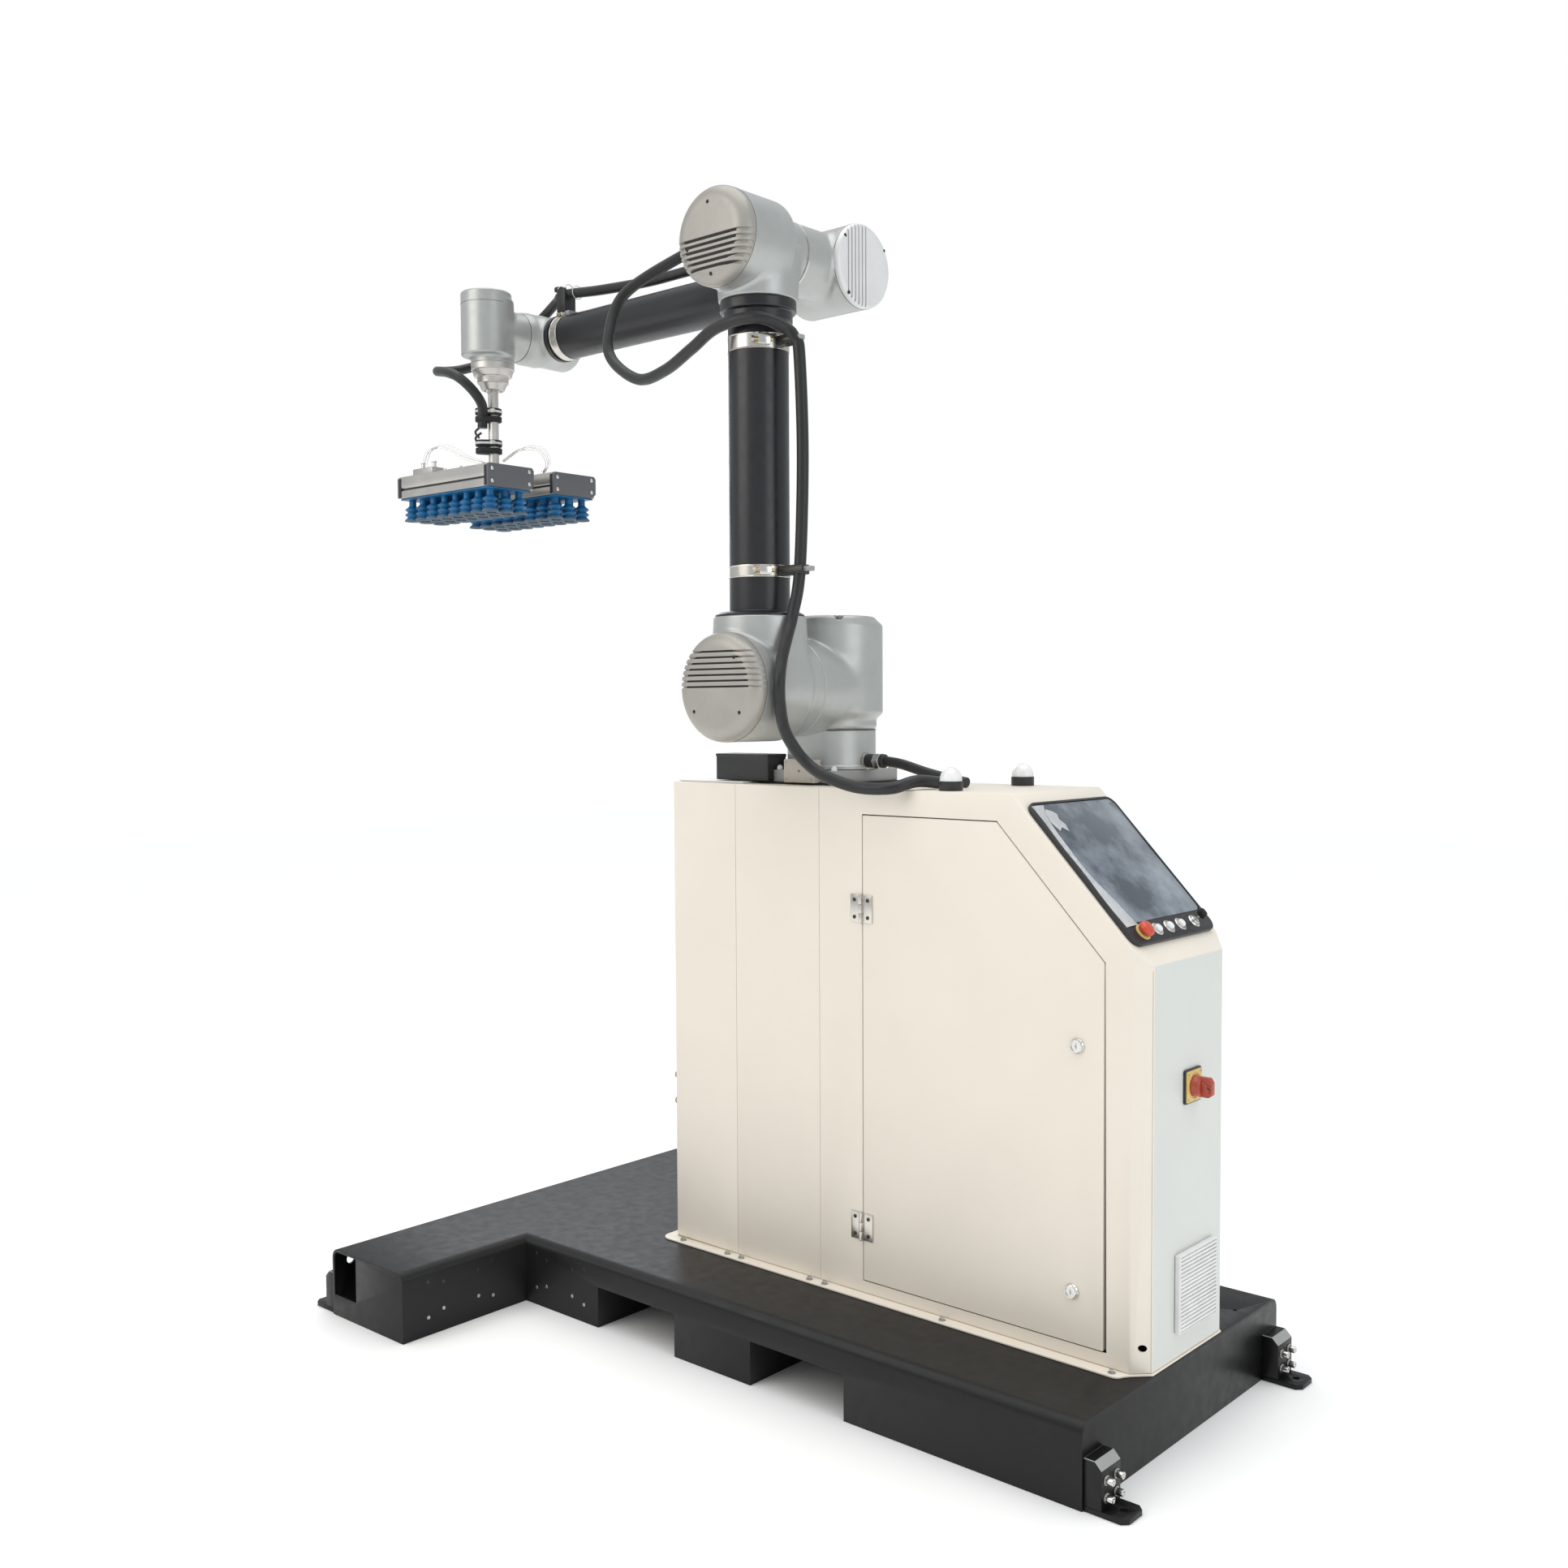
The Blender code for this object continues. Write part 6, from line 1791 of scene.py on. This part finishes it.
def strap_round(z, height):
    """A rubber strap round the rod and the hose beside it, with a white tie."""
    axis = Vector((-0.016, -0.024, 0)).normalized()
    side = Vector((-axis.y, axis.x, 0))

    def loop(grow):
        points = []
        ends = ((J5.x - 0.016, J5.y - 0.024, HOSE_R, -90), (J5.x, J5.y, 0.0165, 90))
        for x, y, radius, first in ends:
            for t in np.radians(np.arange(first, first + 180, 12)):
                points.append(
                    Vector((x, y, 0)) + (axis * math.cos(t) + side * math.sin(t)) * (radius + grow)
                )
        return [(p.x, p.y) for p in points]

    outer = prism(loop(0.0045), z - height / 2, z + height / 2, "z", 0.0015, 2, 50)
    tie = prism(loop(0.0058), z - 0.0028, z + 0.0028, "z", 0.0008, 2, 50)
    knot = box((J5.x + 0.012, J5.y - 0.022, z - 0.004), (J5.x + 0.022, J5.y - 0.012, z + 0.005), 0.001)
    return [(outer, STRAP), (tie, TIE), (knot, TIE)]


def straps():
    parts = []
    for z in (2.128, 2.048):
        parts += strap_round(z + 0.009, 0.016)
        parts += strap_round(z - 0.010, 0.014)[:1]
    for z in (2.088, 2.072):
        hook = tube(
            spaced_along(
                [
                    (J5.x - 0.024, J5.y - 0.020, z + 0.014), (J5.x - 0.036, J5.y - 0.030, z),
                    (J5.x - 0.026, J5.y - 0.026, z - 0.016),
                ],
                0.004,
            ),
            0.0030, 12,
        )
        parts.append((hook, DARK_METAL))
    shown("shaft_straps", parts, "tool", ())


shaft()
bar("near_bar", "near_vacuum_bar")
bar("far_bar", "far_vacuum_bar")
cups("near_cups", "near_cup_bank")
cups("far_cups", "far_cup_bank")
cross_plate()
straps()


# ---------------------------------------------------------------- hoses
HOSE_ROUTE = [
    (0.352, -0.080, CAB_TOP + 0.0128), (0.345, -0.150, 1.2310), (0.318, -0.198, 1.2180),
    (0.246, -0.216, 1.2190),
    (0.178, -0.236, 1.2410), (0.138, -0.247, 1.2680), (0.118, -0.265, 1.3020), (0.111, -0.284, 1.3380),
    (0.123, -0.310, 1.3850), (0.130, -0.320, 1.4310), (0.119, -0.300, 1.4770), (0.112, -0.275, 1.5250),
    (0.106, -0.250, 1.5730), (0.112, ARM_Y, 1.6670), (0.121, ARM_Y, 1.8980), (0.113, ARM_Y, 2.1040),
    (0.104, -0.238, 2.1340), (0.092, -0.250, 2.1540), (0.058, -0.305, 2.1730), (-0.036, -0.320, 2.1650),
    (-0.121, -0.310, 2.1360), (-0.221, -0.290, 2.1090), (-0.325, -0.270, 2.1070), (-0.430, -0.250, 2.1650),
    (-0.461, -0.235, 2.2280), (-0.455, -0.190, 2.3310), (-0.335, -0.120, 2.4100), (-0.240, -0.085, 2.4400),
    (-0.185, -0.020, 2.4550), (-0.200, 0.050, 2.4580), (-0.280, 0.075, 2.4500), (-0.370, 0.060, 2.4420),
    (-0.489, 0.030, 2.4300), (-0.600, 0.016, 2.4250), (-0.762, FOREARM_Y, 2.4340),
    (-0.900, FOREARM_Y, 2.4460),
    (-0.955, 0.035, 2.4420), (-1.020, 0.050, 2.4220), (-1.085, 0.030, 2.3700), (-1.122, -0.030, 2.3100),
    (-1.148, -0.120, 2.2720), (-1.152, -0.175, 2.2580), (-1.135, -0.215, 2.2500), (-1.070, -0.232, 2.2350),
    (-1.018, -0.235, 2.2140), (-0.991, -0.214, 2.1820), (-0.991, -0.186, 2.1500), (-1.006, -0.173, 2.1200),
    (-1.008, -0.172, 2.0950),
]


def nearest(line, point):
    return int(np.argmin(np.linalg.norm(line - np.array(point), axis=1)))


def hose():
    """The hose from the cabinet to the gripper, in stretches: a stretch on one body rides with it, a stretch
    across a joint is left unattached.
    """
    line = spaced_along(HOSE_ROUTE, 0.006)
    marks = [0] + [
        nearest(line, p)
        for p in (HOSE_ROUTE[6], HOSE_ROUTE[13], HOSE_ROUTE[15], HOSE_ROUTE[35], HOSE_ROUTE[40])
    ] + [len(line) - 1]
    pieces = [
        (
            "hose_from_cabinet", ("station", "shoulder"), (0.318, -0.198, 1.218), (0.138, -0.247, 1.268),
            ["hose_lower"],
        ),
        ("hose_at_shoulder", ("shoulder", "upper_arm"), (0.111, -0.284, 1.338), (0.106, -0.250, 1.620), []),
        ("hose_on_upper_arm", ("upper_arm",), None, None, ["hose_upper_run"]),
        (
            "hose_over_elbow", ("upper_arm", "forearm"), (-0.036, -0.320, 2.165), (-0.335, -0.120, 2.410),
            ["hose_elbow"],
        ),
        (
            "hose_over_wrist", ("forearm", "wrist"), (-0.955, 0.035, 2.442), (-1.122, -0.030, 2.310),
            ["hose_wrist"],
        ),
        ("hose_to_tool", ("wrist", "tool"), (-1.152, -0.175, 2.258), (-0.991, -0.186, 2.150), []),
    ]
    for (title, bodies, start, end, nodes), a, b in zip(pieces, marks, marks[1:]):
        mesh = tube(line[a:b + 1], HOSE_R, 22)
        thing = shown(title, [(mesh, HOSE)], bodies[0] if len(bodies) == 1 else None, nodes)
        if len(bodies) > 1:
            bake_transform(thing)


def cables():
    """The arm's own cable, and the clear air tubes on the gripper."""
    route = [
        (0.1530, 0.000, 1.2640), (0.200, -0.003, 1.2580), (0.270, -0.010, 1.2420), (0.345, -0.025, 1.2300),
        (0.385, -0.030, CAB_TOP + 0.0113),
    ]
    cable = tube(spaced_along(route, 0.006), 0.011, 18)
    parts = [(cable, HOSE)]
    shown("arm_cable", parts, "station", ["robot_cable"])
    bar_top = high("near_bar").z
    left = [
        (-1.130, -0.250, bar_top + 0.004), (-1.165, -0.240, 2.010), (-1.180, -0.215, 2.050),
        (-1.150, -0.190, 2.060), (-1.090, -0.170, 2.030), (-1.010, -0.150, 2.005),
    ]
    right = [
        (-0.870, -0.090, bar_top + 0.004), (-0.850, -0.095, 2.000), (-0.865, -0.110, 2.030),
        (-0.910, -0.130, 2.035), (-0.960, -0.145, 2.010),
    ]
    for title, route, node in (
        ("clear_tube_left", left, "air_tube_left"), ("clear_tube_right", right, "air_tube_right"),
    ):
        line = spaced_along(route, 0.004)
        second = line + np.array([0.006, 0.010, 0.006]) * np.sin(
            np.linspace(0, math.pi, len(line))
        )[:, None]
        shown(
            title, [(tube(line, 0.0030, 14), CLEAR), (tube(second, 0.0024, 14), CLEAR)], "tool", [node],
        )


hose()
cables()


# ---------------------------------------------------------------- stage, lights and camera
def stage():
    """A plain pale floor and soft studio light."""
    floor = linked("floor", box((-14, -14, -0.02), (14, 14, -0.0005)))
    n = Nodes("studio_floor", (0.93, 0.93, 0.93), 0.9)
    n.colour(n.mix(n.noise(2.0, 2), (0.955, 0.95, 0.94), (0.965, 0.96, 0.95)))
    floor.data.materials.append(n.material)
    world = bpy.data.worlds.new("studio")
    bpy.context.scene.world = world
    world.use_nodes = True
    tree = world.node_tree
    sky = tree.nodes["Background"]
    sky.inputs["Color"].default_value = (0.90, 0.93, 0.96, 1)
    sky.inputs["Strength"].default_value = 0.62
    seen = tree.nodes.new("ShaderNodeBackground")
    seen.inputs["Color"].default_value = (1, 1, 1, 1)
    path = tree.nodes.new("ShaderNodeLightPath")
    mix = tree.nodes.new("ShaderNodeMixShader")
    tree.links.new(path.outputs["Is Camera Ray"], mix.inputs[0])
    tree.links.new(sky.outputs[0], mix.inputs[1])
    tree.links.new(seen.outputs[0], mix.inputs[2])
    tree.links.new(mix.outputs[0], tree.nodes["World Output"].inputs["Surface"])
    sun = bpy.data.lights.new("overhead", "SUN")
    sun.energy = 1.55
    sun.angle = math.radians(70)
    linked("overhead", sun)
    lamps = [
        ("key", (-1.6, -4.2, 3.6), (0.1, 0, 1.1), 3.2, 60, (1.0, 0.955, 0.89)),
        ("side", (4.4, -0.4, 2.4), (0.2, 0, 1.0), 2.6, 28, (0.93, 0.97, 1.0)),
        ("rear", (-4.2, 2.6, 3.2), (0, 0, 1.4), 2.4, 30, (0.95, 0.98, 1.0)),
    ]
    for name, at, aim, size, power, colour in lamps:
        light = bpy.data.lights.new(name, "AREA")
        light.size = size
        light.energy = power
        light.color = colour
        turn = (Vector(aim) - Vector(at)).to_track_quat("-Z", "Y").to_matrix().to_4x4()
        linked(name, light).matrix_world = Matrix.Translation(at) @ turn


def camera():
    """The camera at the photograph's angle."""
    azimuth, pitch, roll = (math.radians(v) for v in (131.53, -2.71, -0.29))
    ahead = Vector((
        math.cos(pitch) * math.cos(azimuth), math.cos(pitch) * math.sin(azimuth), math.sin(pitch),
    ))
    right = ahead.cross(Z).normalized()
    up = right.cross(ahead)
    turned_right = right * math.cos(roll) + up * math.sin(roll)
    turned_up = up * math.cos(roll) - right * math.sin(roll)
    lens = bpy.data.cameras.new("camera")
    lens.sensor_width = 36
    lens.lens = 36.2
    lens.clip_end = 60
    turn = Matrix((turned_right, turned_up, -ahead)).transposed().to_4x4()
    eye = linked("camera", lens)
    eye.matrix_world = Matrix.Translation((2.2475, -2.698, 1.377)) @ turn
    bpy.context.scene.camera = eye


stage()
camera()
bpy.context.scene.view_settings.view_transform = "Standard"
